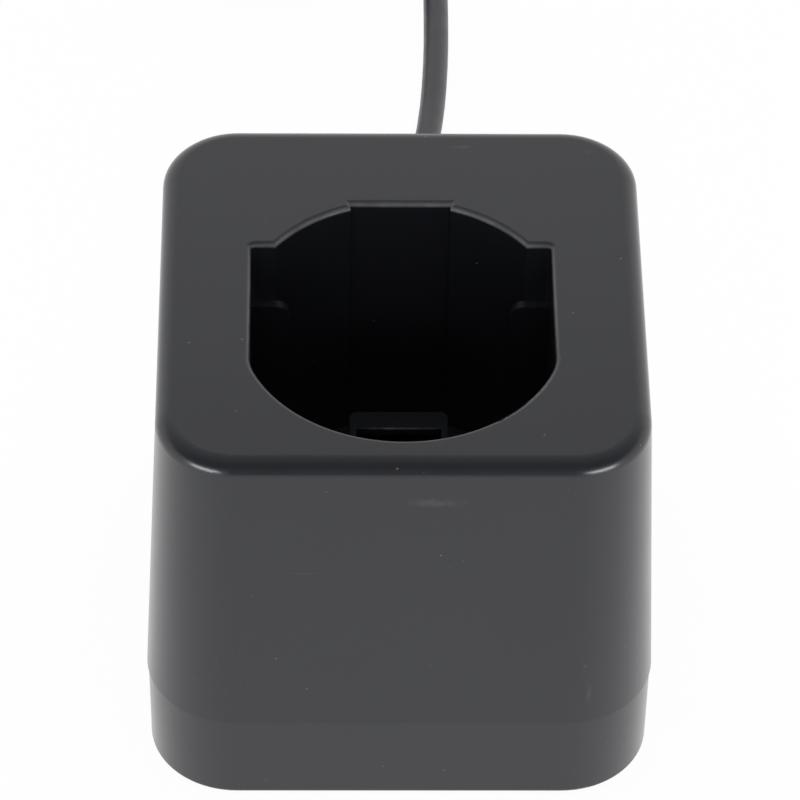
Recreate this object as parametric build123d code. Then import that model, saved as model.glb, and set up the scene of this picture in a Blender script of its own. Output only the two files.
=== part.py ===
# Drop-in charger for a stem-type power tool battery: a moulded tub with a deep well, a pedestal
# with three sprung contact studs, a switched mains supply in the base and a thin mains lead.
# Millimetres. Origin at the middle of the footprint on the table, +Z up, front at -Y, lead at +Y.
from build123d import *
import math
import os

# ---------------------------------------------------------------- outer form
seam_width = 99.8
seam_depth = 102.4
seam_corner = 17.8
housing_height = 67.8
housing_inset = 3.0
base_height = 20.8
base_step = 0.25
base_inset = 0.2
foot_stand = 0.8
wall = 2.5
top_wall = 3.0
floor_wall = 2.5
top_edge_radius = 3.2
base_edge_radius = 0.9
rim_radius = 1.05
lip_height = 1.6
lip_gap = 0.1
lip_headroom = 0.2

# ---------------------------------------------------------------- battery well
well_half_width = 29.3
well_front_radius = 30.8
well_front_centre = -10.2
ear_rear = 13.4
well_rear_radius = 30.3
well_rear_centre = -4.4
side_bend = 12.0
well_corner = 0.8
notch_width = 19.6
notch_rear = 25.4
well_floor_rise = 7.8
well_wall = 2.0
well_floor_wall = 2.0
rib_thickness = 1.9
rib_inner = 21.7
rib_drop = 15.0
rib_corner = 2.8

# ---------------------------------------------------------------- contact pedestal
pedestal_width = 20.0
pedestal_depth = 28.0
pedestal_rear = 12.0
pedestal_height = 16.0
pedestal_wall = 1.5
pedestal_top_wall = 1.6
pedestal_corner = 1.8
pedestal_edge = 0.4
slot_land = 5.2

# ---------------------------------------------------------------- contact carrier, studs, springs
carrier_gap = 0.15
carrier_recess = 4.5
carrier_drop = 4.0
flange_thickness = 2.0
flange_depth = 12.0
flange_margin = 3.4
carrier_boss_radius = 3.0
carrier_boss_offset = 3.6
stud_pitch = 5.2
stud_radius = 1.5
stud_flush = 0.2
stud_guide = 4.0
stud_collar_radius = 2.2
stud_collar = 1.2
stud_tail_radius = 1.1
stud_tail = 3.0
stud_travel = 1.8
stud_fit = 0.05
collar_fit = 0.1
spring_radius = 1.75
spring_wire = 0.275
spring_turns = 7
contact_pad_radius = 2.1
contact_pad_height = 0.3

# ---------------------------------------------------------------- circuit boards
board_thickness = 1.6
board_side_gap = 4.0
board_front_gap = 3.4
board_rear_gap = 2.6
board_post_height = 4.0
board_post_radius = 3.0
board_post_side = 11.0
board_post_end = 20.9
board_corner_margin = 1.0
cord_notch_half = 12.0
cord_notch_gap = 7.5
contact_board_margin = 1.0
contact_board_depth = 30.0
contact_board_front = 17.0

# ---------------------------------------------------------------- fasteners
thread_gap = 0.05
screw_hole_gap = 0.2
housing_screw_radius = 1.5
housing_screw_head = 2.8
housing_screw_head_height = 2.0
housing_screw_length = 24.0
housing_screw_seat = 8.0
housing_screw_inset = 10.5
boss_radius = 3.5
boss_above_seam = 3.0
column_radius = 4.0
counterbore_gap = 0.4
small_screw_radius = 1.1
small_screw_head = 2.0
small_screw_head_height = 1.3
carrier_screw_length = 8.0
board_screw_length = 5.2
clamp_screw_length = 8.0
blind_end = 0.5

# ---------------------------------------------------------------- feet
foot_radius = 5.0
foot_thickness = 2.0
foot_gap = 0.1
foot_side_inset = 20.0
foot_end_inset = 10.0
plate_width = 52.0
plate_depth = 30.0
plate_recess = 0.4
plate_corner = 2.0

# ---------------------------------------------------------------- mains lead
cord_radius = 2.85
cord_above_underside = 10.0
cord_gap = 0.05
sheath_inside_clamp = 2.5
relief_flange_radius = 7.0
relief_flange_inner = 1.6
relief_flange_outer = 1.8
relief_neck_radius = 4.8
relief_neck_gap = 0.1
relief_wall_gap = 0.1
relief_taper_start = 5.1
relief_taper_end = 3.8
relief_taper_length = 22.0
relief_groove_count = 4
relief_groove_pitch = 4.2
relief_groove_first = 3.0
relief_groove_width = 1.4
relief_groove_depth = 0.9
clamp_inset = 12.9
clamp_depth = 7.0
clamp_width = 22.0
clamp_screw_x = 7.8
clamp_bar_height = 4.2
clamp_parting = 0.4
conductor_radius = 0.9
conductor_pitch = 2.0
route_x = [0.0, 0.0, 8.5, 10.8, 11.0]
route_y = [0.0, 45.4, 90.4, 118.4, 147.4]

# ---------------------------------------------------------------- put-away coil and plug
coil_turns_wide = 4
coil_layers = 2
coil_middle_radius = 31.5
coil_lift = 0.8
coil_run_in = 40.0
tie_thickness = 0.6
tie_width = 6.0
tie_gap = 0.25
tie_angle = 200.0
tail_out = [0.0, 0.2, 1.4, 2.9, 4.1]
tail_back = [0.0, 13.0, 27.0, 41.0, 52.0]
tail_drop = 3.4
plug_width = 35.3
plug_thickness = 13.7
plug_face_length = 15.0
plug_length = 36.0
plug_rear_width = 13.0
plug_edge = 1.6
plug_relief_length = 12.0
plug_relief_rear = 3.6
plug_relief_front = 4.8
pin_radius = 2.0
pin_core_radius = 1.6
pin_length = 19.0
pin_sleeve_length = 10.0
pin_pitch = 18.6
pin_root = 7.0
pin_gap = 0.05
pin_tip = 0.9

# ---------------------------------------------------------------- parts on the main board
terminal_width = 12.0
terminal_depth = 9.0
terminal_height = 10.0
terminal_inset = 4.0
terminal_pitch = 5.0
terminal_entry_height = 4.1
terminal_entry_depth = 4.0
terminal_screw_radius = 1.6
terminal_screw_depth = 2.0
lead_socket_width = 15.0
lead_socket_depth = 7.0
lead_socket_height = 8.0
lead_socket_rear = -29.0
lead_entry_height = 4.0
lead_entry_depth = 3.0
lead_radius = 0.8
lead_pitch = 4.2
lead_bend = 4.0
lead_start = 2.2
fuse_x = -26.0
fuse_y = 16.0
fuse_length = 20.0
fuse_glass_radius = 2.3
fuse_cap_radius = 2.6
fuse_cap_length = 5.0
fuse_height = 4.2
fuse_clip_width = 6.4
fuse_clip_length = 3.0
varistor_x = -34.5
varistor_y = 12.0
varistor_radius = 5.0
varistor_thickness = 4.0
disc_lead_height = 1.5
x_capacitor_size = (18.0, 8.5, 14.5)
x_capacitor_x = 21.2
x_capacitor_y = 17.0
choke_x = 31.5
choke_gap = 0.7
choke_core_outer = 7.0
choke_core_inner = 4.2
choke_core_height = 6.0
choke_winding_build = 1.1
choke_winding_angle = 130.0
diode_x = -25.0
diode_y = -3.0
diode_pitch = 4.6
diode_count = 4
diode_radius = 1.4
diode_length = 5.2
diode_lead_radius = 0.4
diode_lead_span = 5.0
axial_height = 1.9
bulk_capacitor_radius = 8.0
bulk_capacitor_height = 25.0
can_edge = 0.8
core_width = 20.0
core_thickness = 6.0
core_height = 16.0
core_leg = 5.0
core_yoke = 2.6
core_base_height = 3.0
bobbin_wall = 0.8
bobbin_depth = 15.0
winding_inset = 0.5
transformer_gap = 0.1
output_capacitor_radius = 5.0
output_capacitor_height = 15.0
output_capacitor_insets = [(9.0, -31.0), (21.0, -34.0)]
sink_well_gap = 0.2
sink_screw_gap = 0.5
sink_thickness = 1.6
sink_width = 18.0
sink_height = 27.0
sink_foot = 5.0
transistor_width = 10.0
transistor_height = 15.5
transistor_thickness = 4.5
transistor_tab_thickness = 1.3
transistor_body_height = 9.0
transistor_lift = 5.0
transistor_leg = 0.8
transistor_leg_pitch = 2.54
sink_screw_radius = 1.5
sink_screw_head = 2.7
sink_nut_thickness = 2.0
chip_size = (9.4, 6.4, 3.4)
chip_place = (13.0, -25.0)
coupler_size = (4.6, 6.4, 3.4)
coupler_place = (3.0, -2.0)
chip_leg = 0.5
chip_leg_pitch = 2.54
chip_lift = 0.6
output_diode_inset = 8.0
output_diode_y = -22.0
output_diode_radius = 2.6
output_diode_length = 9.0
output_diode_lead = 0.6
output_diode_span = 8.0
resistor_first = (22.5, -37.5)
resistor_pitch = 4.0
resistor_count = 3
resistor_radius = 1.2
resistor_waist = 0.95
resistor_length = 6.3
resistor_lead = 0.3
resistor_span = 5.2
suppressor_place = (-8.0, 2.0)
suppressor_radius = 3.6
suppressor_thickness = 3.0

# ---------------------------------------------------------------- levels and places
underside = foot_stand
seam_level = underside + base_height
top_level = seam_level + housing_height
ceiling = top_level - top_wall
base_floor = underside + floor_wall
well_floor = seam_level + well_floor_rise
well_underside = well_floor - well_floor_wall
pedestal_top = well_floor + pedestal_height
pedestal_y = pedestal_rear - pedestal_depth / 2
carrier_top = pedestal_top - carrier_recess
flange_top = well_underside - carrier_drop
carrier_bottom = flange_top - flange_thickness
contact_board_bottom = carrier_bottom - board_thickness
bore_width = pedestal_width - 2 * pedestal_wall
bore_depth = pedestal_depth - 2 * pedestal_wall
slot_depth = pedestal_depth - 2 * slot_land
carrier_screw_x = bore_width / 2 + carrier_boss_offset
flange_width = 2 * (carrier_screw_x + flange_margin)
board_bottom = base_floor + board_post_height
board_top = board_bottom + board_thickness
screw_x = seam_width / 2 - housing_screw_inset
screw_y = seam_depth / 2 - housing_screw_inset
boss_bottom = seam_level + boss_above_seam
cord_level = underside + cord_above_underside
wall_rear = seam_depth / 2 - base_step
well_back = notch_rear + well_wall
housing_draft = math.degrees(math.atan2(housing_inset, housing_height))
base_draft = math.degrees(math.atan2(base_inset, base_height))
stud_places = {
    "positive": -stud_pitch,
    "sense": 0.0,
    "negative": stud_pitch,
}
screw_size = (small_screw_radius, small_screw_head, small_screw_head_height)
stud_stand = stud_travel + stud_flush
board_post_x = seam_width / 2 - board_post_side
board_post_y = seam_depth / 2 - board_post_end
clamp_y = seam_depth / 2 - clamp_inset
cord_inner_end = clamp_y - clamp_depth / 2 - sheath_inside_clamp
cord_notch_front = clamp_y - clamp_depth / 2 - cord_notch_gap
terminal_rear = cord_notch_front - terminal_inset
rear_part_x = (clamp_width / 2 + screw_x - column_radius) / 2
rear_part_y = (well_back + wall_rear - wall) / 2
sink_x = well_half_width + well_wall + sink_well_gap + sink_nut_thickness + sink_thickness / 2
sink_y = sink_screw_gap + small_screw_head + sink_width / 2 - board_post_y
choke_radius = choke_core_outer + choke_winding_build
choke_y = sink_y + sink_width / 2 + choke_gap + choke_radius
core_window = (core_width - 2 * core_leg) / 2


# ---------------------------------------------------------------- helpers
def upright(radius, low, high, x=0.0, y=0.0):
    """Upright cylinder between two heights."""
    bar = Cylinder(radius, high - low, align=(Align.CENTER, Align.CENTER, Align.MIN))
    return Pos(x, y, low) * bar


def along_y(radius, front, rear, x, z):
    """Cylinder along Y between two depths."""
    bar = Cylinder(radius, rear - front, align=(Align.CENTER, Align.CENTER, Align.MIN))
    return Pos(x, front, z) * Rot(-90, 0, 0) * bar


def along_x(radius, left, right, y, z):
    """Cylinder along X between two places."""
    bar = Cylinder(radius, right - left, align=(Align.CENTER, Align.CENTER, Align.MIN))
    return Pos(left, y, z) * Rot(0, 90, 0) * bar


def block(width, depth, low, high, x=0.0, y=0.0):
    """Box standing between two heights, centred on x and y."""
    body = Box(width, depth, high - low, align=(Align.CENTER, Align.CENTER, Align.MIN))
    return Pos(x, y, low) * body


def span(left, right, front, rear, low, high):
    """Box between its six faces."""
    body = Box(right - left, rear - front, high - low, align=(Align.MIN, Align.MIN, Align.MIN))
    return Pos(left, front, low) * body


def prism(plan, low, high):
    """Straight solid over a flat outline."""
    return extrude(Pos(0, 0, low) * plan, amount=high - low)


def rounded(width, depth, corner):
    """Rounded rectangular outline about the origin."""
    return RectangleRounded(width, depth, corner)


def corners(x, y):
    """The four places that mirror one corner."""
    return [(side * x, end * y) for side in (-1, 1) for end in (-1, 1)]


def screw(size, length, recess=0.8):
    """Pan-head screw pointing up from its seat at height zero, with a cross recess."""
    radius, head, head_height = size
    body = upright(head, -head_height, 0) + upright(radius, 0, length)
    body = chamfer(body.edges().group_by(Axis.Z)[0], head_height * 0.3)
    cut = block(head * 1.2, head * 0.24, -head_height, -head_height + recess)
    return body - cut - Rot(0, 0, 90) * cut


def group(shapes):
    """Loose solids that share one node."""
    return Compound(children=[solid for shape in shapes for solid in shape.solids()])


def write(node, shape):
    """One STEP file per node."""
    export_step(shape, f"parts/{node}.step")


# ---------------------------------------------------------------- upper housing
def well_plan():
    """Outline of the battery well: arched front, two square ears, arched rear with a flat notch."""
    width = 2 * well_half_width
    front = Pos(0, well_front_centre) * Circle(well_front_radius)
    front &= Pos(0, well_front_centre) * Rectangle(width, 2 * well_front_radius)
    ears = Pos(0, (well_front_centre + ear_rear) / 2) * Rectangle(width, ear_rear - well_front_centre)
    rear = Pos(0, well_rear_centre) * Circle(well_rear_radius)
    rear &= Pos(0, notch_rear / 2) * Rectangle(width, notch_rear)
    notch = Pos(0, notch_rear / 2) * Rectangle(notch_width, notch_rear)
    plan = front + ears + rear + notch
    bends = [vertex for vertex in plan.vertices() if vertex.Y < well_front_centre]
    plan = fillet(bends, side_bend)
    ear_corner = (well_half_width, ear_rear)
    ear_corners = [
        vertex
        for vertex in plan.vertices()
        if math.dist((abs(vertex.X), vertex.Y), ear_corner) < thread_gap
    ]
    return fillet(ear_corners, well_corner)


def tapered(inset, low, high):
    """The housing's tapered form, standing in by inset from the outer face."""
    plan = rounded(seam_width - 2 * inset, seam_depth - 2 * inset, seam_corner - inset)
    return extrude(Pos(0, 0, low) * plan, amount=high - low, taper=housing_draft)


def ear_rib(side):
    """Upright rib in front of an ear's rear wall, rounded at its free upper corner."""
    front = ear_rear - rib_thickness
    outer = well_half_width + well_wall / 2
    low = well_floor - well_floor_wall / 2
    rib = span(rib_inner, outer, front, ear_rear, low, top_level - rib_drop)
    inner_edge = rib.edges().filter_by(Axis.Y).group_by(Axis.Z)[-1].sort_by(Axis.X)[0]
    rib = fillet(inner_edge, rib_corner)
    return rib if side > 0 else mirror(rib, about=Plane.YZ)


def upper_housing():
    """Tub with the well, the pedestal, the screw bosses and the carrier bosses."""
    outer = tapered(0, seam_level, top_level)
    outer = fillet(outer.edges().group_by(Axis.Z)[-1], top_edge_radius)
    shell = outer - tapered(wall, seam_level, ceiling)
    well = well_plan()
    shell += prism(offset(well, amount=well_wall), well_underside, ceiling)
    shell -= prism(well, well_floor, top_level)
    rim = [
        edge
        for edge in shell.edges()
        if abs(edge.center().Z - top_level) < thread_gap
        and abs(edge.center().X) < well_half_width + rim_radius
        and abs(edge.center().Y) < well_front_radius - well_front_centre + rim_radius
    ]
    shell = fillet(rim, rim_radius)
    for side in (-1, 1):
        shell += ear_rib(side)
    block_plan = Pos(0, pedestal_y) * rounded(pedestal_width, pedestal_depth, pedestal_corner)
    pedestal = prism(block_plan, well_underside, pedestal_top)
    pedestal = fillet(pedestal.edges().group_by(Axis.Z)[-1], pedestal_edge)
    shell += pedestal
    inside = pedestal_top - pedestal_top_wall
    shell -= block(bore_width, bore_depth, well_underside, inside, 0, pedestal_y)
    shell -= block(bore_width, slot_depth, inside, pedestal_top, 0, pedestal_y)
    groove = wall / 2 + base_step
    lip_plan = rounded(seam_width - 2 * groove, seam_depth - 2 * groove, seam_corner - groove)
    shell -= prism(lip_plan, seam_level, seam_level + lip_height + lip_headroom)
    for x, y in corners(screw_x, screw_y):
        shell += upright(boss_radius, boss_bottom, ceiling, x, y) & outer
    thread = housing_screw_radius + thread_gap
    tip = underside + housing_screw_seat + housing_screw_length + blind_end
    for x, y in corners(screw_x, screw_y):
        shell -= upright(thread, boss_bottom, tip, x, y)
    small = small_screw_radius + thread_gap
    small_tip = contact_board_bottom + carrier_screw_length - small_screw_radius / 2 + blind_end
    for side in (-1, 1):
        x = side * carrier_screw_x
        shell += upright(carrier_boss_radius, flange_top, well_underside, x, pedestal_y)
        shell -= upright(small, flange_top, small_tip, x, pedestal_y)
    return shell


# ---------------------------------------------------------------- base cover
def base_form(inset, low):
    """The base's form up to the seam, standing in by inset from its outer face."""
    foot_inset = inset + base_step + base_inset * (seam_level - low) / base_height
    width = seam_width - 2 * foot_inset
    depth = seam_depth - 2 * foot_inset
    plan = Pos(0, 0, low) * rounded(width, depth, seam_corner - foot_inset)
    return extrude(plan, amount=seam_level - low, taper=-base_draft)


def foot_places():
    """Middles of the four feet."""
    return corners(seam_width / 2 - foot_side_inset, seam_depth / 2 - foot_end_inset)


def base_cover():
    """Tray with the seam lip, screw columns, board posts, cord saddle and foot recesses."""
    outer = base_form(0, underside)
    outer = fillet(outer.edges().group_by(Axis.Z)[0], base_edge_radius)
    tray = outer - base_form(wall, base_floor)
    lip_out = base_step + wall / 2 + lip_gap
    lip_in = base_step + wall
    lip = prism(
        rounded(seam_width - 2 * lip_out, seam_depth - 2 * lip_out, seam_corner - lip_out)
        - rounded(seam_width - 2 * lip_in, seam_depth - 2 * lip_in, seam_corner - lip_in),
        seam_level,
        seam_level + lip_height,
    )
    tray += lip
    for x, y in corners(screw_x, screw_y):
        tray += upright(column_radius, base_floor, boss_bottom, x, y)
    for x, y in corners(board_post_x, board_post_y):
        tray += upright(board_post_radius, base_floor, board_bottom, x, y)
    tray += block(clamp_width, clamp_depth, base_floor, cord_level - clamp_parting, 0, clamp_y)
    shaft = housing_screw_radius + screw_hole_gap
    head = housing_screw_head + counterbore_gap
    for x, y in corners(screw_x, screw_y):
        tray -= upright(shaft, underside, boss_bottom, x, y)
        tray -= upright(head, underside, underside + housing_screw_seat, x, y)
    small = small_screw_radius + thread_gap
    for x, y in corners(board_post_x, board_post_y):
        tip = board_top - board_screw_length - blind_end
        tray -= upright(small, tip, board_bottom, x, y)
    for side in (-1, 1):
        tip = cord_level + clamp_bar_height - clamp_screw_length - blind_end
        tray -= upright(small, tip, cord_level, side * clamp_screw_x, clamp_y)
    tray -= along_y(cord_radius + cord_gap, clamp_y - clamp_depth, clamp_y + clamp_depth, 0, cord_level)
    hole = relief_neck_radius + relief_neck_gap
    tray -= along_y(hole, wall_rear - 2 * wall, wall_rear + wall, 0, cord_level)
    for x, y in foot_places():
        recess = underside + foot_thickness - foot_stand
        tray -= upright(foot_radius + foot_gap, underside, recess, x, y)
    plate = rounded(plate_width, plate_depth, plate_corner)
    tray -= prism(plate, underside, underside + plate_recess)
    return tray


def rubber_feet():
    """Four round feet that stand proud of the underside."""
    feet = []
    for x, y in foot_places():
        foot = upright(foot_radius, 0, foot_thickness, x, y)
        feet.append(chamfer(foot.edges().group_by(Axis.Z)[0], foot_stand / 2))
    return group(feet)


def housing_screws():
    """Four screws from below, through the base columns into the housing bosses."""
    size = (housing_screw_radius, housing_screw_head, housing_screw_head_height)
    seat = underside + housing_screw_seat
    one = screw(size, housing_screw_length)
    return group([Pos(x, y, seat) * one for x, y in corners(screw_x, screw_y)])


# ---------------------------------------------------------------- contacts
def contact_carrier():
    """Block inside the pedestal with a stepped bore for each stud and a screwed flange."""
    width = bore_width - 2 * carrier_gap
    depth = bore_depth - 2 * carrier_gap
    carrier = block(width, depth, carrier_bottom, carrier_top, 0, pedestal_y)
    carrier += block(flange_width, flange_depth, carrier_bottom, flange_top, 0, pedestal_y)
    shoulder = carrier_top - stud_guide
    for x in stud_places.values():
        carrier -= upright(stud_radius + stud_fit, shoulder, carrier_top, x, pedestal_y)
        carrier -= upright(stud_collar_radius + collar_fit, carrier_bottom, shoulder, x, pedestal_y)
    for side in (-1, 1):
        hole = small_screw_radius + screw_hole_gap
        carrier -= upright(hole, carrier_bottom, flange_top, side * carrier_screw_x, pedestal_y)
    return carrier


def contact_stud(x):
    """Round-tipped stud with a collar under the carrier's shoulder and a tail in its spring."""
    shoulder = carrier_top - stud_guide
    seat = shoulder - stud_collar
    tip = carrier_top + stud_stand
    shank = upright(stud_radius, shoulder, tip, x, pedestal_y)
    shank = fillet(shank.edges().group_by(Axis.Z)[-1], stud_radius * 0.6)
    collar = upright(stud_collar_radius, seat, shoulder, x, pedestal_y)
    return shank + collar + upright(stud_tail_radius, seat - stud_tail, seat, x, pedestal_y)


def contact_spring(x):
    """Open coil between its pad and the stud's collar."""
    low = carrier_bottom + contact_pad_height + spring_wire
    high = carrier_top - stud_guide - stud_collar - spring_wire
    turn = Helix(pitch=(high - low) / spring_turns, height=high - low, radius=spring_radius)
    section = Plane(turn @ 0, z_dir=turn % 0) * Circle(spring_wire)
    return Pos(x, pedestal_y, low) * sweep(section, path=turn, is_frenet=True)


def contact_pads():
    """Plated pads on the contact board under the springs."""
    high = carrier_bottom + contact_pad_height
    pads = [
        upright(contact_pad_radius, carrier_bottom, high, x, pedestal_y)
        for x in stud_places.values()
    ]
    return group(pads)


def contact_board():
    """Small board that closes the carrier from below."""
    width = flange_width + 2 * contact_board_margin
    middle = pedestal_y - contact_board_front + contact_board_depth / 2
    board = block(width, contact_board_depth, contact_board_bottom, carrier_bottom, 0, middle)
    for side in (-1, 1):
        hole = small_screw_radius + screw_hole_gap
        x = side * carrier_screw_x
        board -= upright(hole, contact_board_bottom, carrier_bottom, x, pedestal_y)
    return board


def carrier_screws():
    """Two screws from below, through board and flange into the well floor's bosses."""
    one = screw(screw_size, carrier_screw_length - small_screw_radius / 2)
    places = [(side * carrier_screw_x, pedestal_y) for side in (-1, 1)]
    return group([Pos(x, y, contact_board_bottom) * one for x, y in places])


# ---------------------------------------------------------------- main board
def main_board():
    """Board on its four posts, cut away round the screw columns and the cord clamp."""
    half_width = seam_width / 2 - wall - board_side_gap
    half_depth = seam_depth / 2 - wall - board_front_gap
    rear = seam_depth / 2 - wall - board_rear_gap
    board = span(-half_width, half_width, -half_depth, rear, board_bottom, board_top)
    keep_x = screw_x - column_radius - board_corner_margin
    keep_y = screw_y - column_radius - board_corner_margin
    for x, y in corners(keep_x + column_radius * 2, keep_y + column_radius * 2):
        board -= block(4 * column_radius, 4 * column_radius, board_bottom, board_top, x, y)
    board -= span(-cord_notch_half, cord_notch_half, cord_notch_front, rear, board_bottom, board_top)
    for x, y in corners(board_post_x, board_post_y):
        hole = small_screw_radius + screw_hole_gap
        board -= upright(hole, board_bottom, board_top, x, y)
    return board


def board_screws():
    """Four screws from above into the board posts."""
    one = Rot(180, 0, 0) * screw(screw_size, board_screw_length)
    return group([Pos(x, y, board_top) * one for x, y in corners(board_post_x, board_post_y)])


def axial_part(body, radius, half_span, height):
    """Axial part lying along X with its leads bent down into the board."""
    lead = along_x(radius, -half_span, half_span, 0, height)
    for side in (-1, 1):
        lead += upright(radius, 0, height, side * half_span, 0)
        lead += Pos(side * half_span, 0, height) * Sphere(radius)
    return body + lead


def mains_terminal():
    """Two-way screw terminal block for the incoming conductors."""
    high = board_top + terminal_height
    middle = terminal_rear - terminal_depth / 2
    body = block(terminal_width, terminal_depth, board_top, high, 0, middle)
    entry = board_top + terminal_entry_height
    for side in (-1, 1):
        x = side * terminal_pitch / 2
        hole = conductor_radius + cord_gap
        body -= along_y(hole, terminal_rear - terminal_entry_depth, terminal_rear, x, entry)
        body -= upright(terminal_screw_radius, high - terminal_screw_depth, high, x, middle)
    return body


def terminal_screws():
    """Slotted clamping screws in the terminal block."""
    high = board_top + terminal_height
    middle = terminal_rear - terminal_depth / 2
    screws = []
    for side in (-1, 1):
        x = side * terminal_pitch / 2
        radius = terminal_screw_radius - thread_gap
        one = upright(radius, high - terminal_screw_depth, high - thread_gap, x, middle)
        slot_low = high - terminal_screw_depth / 2
        screws.append(one - block(radius * 2, radius / 2, slot_low, high, x, middle))
    return group(screws)


def lead_socket():
    """Three-way socket for the leads from the contact board."""
    high = board_top + lead_socket_height
    middle = lead_socket_rear - lead_socket_depth / 2
    body = block(lead_socket_width, lead_socket_depth, board_top, high, 0, middle)
    entry = board_top + lead_entry_height
    for place in (-1, 0, 1):
        hole = lead_radius + cord_gap
        x = place * lead_pitch
        body -= along_y(hole, lead_socket_rear - lead_entry_depth, lead_socket_rear, x, entry)
    return body


def contact_lead(place):
    """Lead from a pad under the contact board down into the socket."""
    x = place * lead_pitch
    top_y = pedestal_y - contact_board_front + lead_start
    entry = board_top + lead_entry_height
    path = FilletPolyline(
        (x, top_y, contact_board_bottom),
        (x, top_y, entry),
        (x, lead_socket_rear - lead_entry_depth, entry),
        radius=lead_bend,
    )
    return sweep(Plane(path @ 0, z_dir=path % 0) * Circle(lead_radius), path=path)


def fuse_glass():
    """Glass tube of the mains fuse."""
    level = board_top + fuse_height
    half = fuse_length / 2
    return along_y(fuse_glass_radius, fuse_y - half, fuse_y + half, fuse_x, level)


def fuse_caps():
    """Metal caps over the ends of the glass."""
    level = board_top + fuse_height
    caps = []
    for end in (-1, 1):
        near = fuse_y + end * (fuse_length / 2 - fuse_cap_length)
        far = fuse_y + end * fuse_length / 2
        cap = along_y(fuse_cap_radius, min(near, far), max(near, far), fuse_x, level)
        caps.append(cap - along_y(fuse_glass_radius, min(near, far), max(near, far), fuse_x, level))
    return group(caps)


def fuse_clips():
    """Two spring clips that hold the fuse by its caps."""
    level = board_top + fuse_height
    clips = []
    for end in (-1, 1):
        middle = fuse_y + end * (fuse_length - fuse_cap_length) / 2
        front = middle - fuse_clip_length
        high = level + fuse_cap_radius / 2
        clip = block(fuse_clip_width, fuse_clip_length, board_top, high, fuse_x, middle)
        clips.append(clip - along_y(fuse_cap_radius, front, front + 2 * fuse_clip_length, fuse_x, level))
    return group(clips)


def disc_part(x, y, radius, thickness):
    """Disc-shaped part standing on two leads, its face towards X."""
    level = board_top + disc_lead_height + radius
    disc = along_x(radius, x - thickness / 2, x + thickness / 2, y, level)
    disc = fillet(disc.edges(), thickness * 0.3)
    for side in (-1, 1):
        disc += upright(diode_lead_radius, board_top, level, x, y + side * radius / 2)
    return disc


def x_capacitor():
    """Boxed suppression capacitor across the mains."""
    width, depth, height = x_capacitor_size
    body = block(width, depth, board_top, board_top + height, x_capacitor_x, x_capacitor_y)
    return fillet(body.edges().filter_by(Axis.Z), can_edge)


def choke_ring(outer, inner, low, high):
    """Flat ring about the choke's axis."""
    ring = upright(outer, low, high, choke_x, choke_y)
    return ring - upright(inner, low, high, choke_x, choke_y)


def choke_core():
    """Ferrite ring of the line choke."""
    low = board_top + choke_winding_build
    return choke_ring(choke_core_outer, choke_core_inner, low, low + choke_core_height)


def choke_windings():
    """Two windings over opposite sides of the ring."""
    high = board_top + 2 * choke_winding_build + choke_core_height
    inner = choke_core_inner - choke_winding_build
    wound = choke_ring(choke_radius, inner, board_top, high) - choke_core()
    gap = 180 - choke_winding_angle
    reach = choke_radius * 2
    half = math.radians(gap / 2)
    wedge = Polygon(
        (0, 0),
        (reach * math.cos(half), reach * math.sin(half)),
        (reach * math.cos(half), -reach * math.sin(half)),
        align=None,
    )
    for turn in (0, 180):
        cut = prism(Pos(choke_x, choke_y) * Rot(0, 0, turn) * wedge, board_top, high)
        wound -= cut
    return wound


def rectifier_diodes():
    """Four small diodes in a row behind the fuse."""
    body = along_x(diode_radius, -diode_length / 2, diode_length / 2, 0, axial_height)
    one = axial_part(body, diode_lead_radius, diode_lead_span, axial_height)
    places = [diode_y - step * diode_pitch for step in range(diode_count)]
    return group([Pos(diode_x, y, board_top) * one for y in places])


def output_diode():
    """Large axial diode on the low-voltage side."""
    half = output_diode_length / 2
    body = along_x(output_diode_radius, -half, half, 0, output_diode_radius)
    one = axial_part(body, output_diode_lead, output_diode_span, output_diode_radius)
    return Pos(output_diode_inset - board_post_x, output_diode_y, board_top) * one


def board_resistors():
    """Axial resistors with swollen ends."""
    half = resistor_length / 2
    body = along_x(resistor_waist, -half, half, 0, axial_height)
    for side in (-1, 1):
        end = side * (half - resistor_radius)
        body += Pos(end, 0, axial_height) * Sphere(resistor_radius)
    one = axial_part(body, resistor_lead, resistor_span, axial_height)
    x, y = resistor_first
    return group([Pos(x, y + step * resistor_pitch, board_top) * one for step in range(resistor_count)])


def can(x, y, radius, height):
    """Upright can capacitor with a rounded top edge."""
    body = upright(radius, board_top, board_top + height, x, y)
    return fillet(body.edges().group_by(Axis.Z)[-1], can_edge)


def bulk_capacitor():
    """High-voltage capacitor behind the well."""
    return can(rear_part_x, rear_part_y, bulk_capacitor_radius, bulk_capacitor_height)


def output_capacitor_group():
    """Smoothing capacitors on the low-voltage side."""
    cans = []
    for inset, y in output_capacitor_insets:
        cans.append(can(inset - board_post_x, y, output_capacitor_radius, output_capacitor_height))
    return group(cans)


def transformer_core():
    """Two ferrite halves that meet at mid height, each with three legs."""
    x, y = -rear_part_x, rear_part_y
    low = board_top + core_base_height
    high = low + core_height
    frame = block(core_width, core_thickness, low, high, x, y)
    offset_x = (core_leg + core_window) / 2
    for side in (-1, 1):
        middle_x = x + side * offset_x
        frame -= block(core_window, core_thickness, low + core_yoke, high - core_yoke, middle_x, y)
    middle = (low + high) / 2
    lower = frame & block(core_width, core_thickness, low, middle, x, y)
    upper = frame & block(core_width, core_thickness, middle, high, x, y)
    return group([lower, upper])


def bobbin_span():
    """Lowest and highest level of the bobbin inside the core's windows."""
    low = board_top + core_base_height + core_yoke + transformer_gap
    high = board_top + core_base_height + core_height - core_yoke - transformer_gap
    return low, high


def bobbin_tube(x, y, grow, low, high):
    """Square sleeve round the centre leg, as a solid block."""
    width = core_leg + 2 * (transformer_gap + grow)
    depth = core_thickness + 2 * (transformer_gap + grow)
    return block(width, depth, low, high, x, y)


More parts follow.
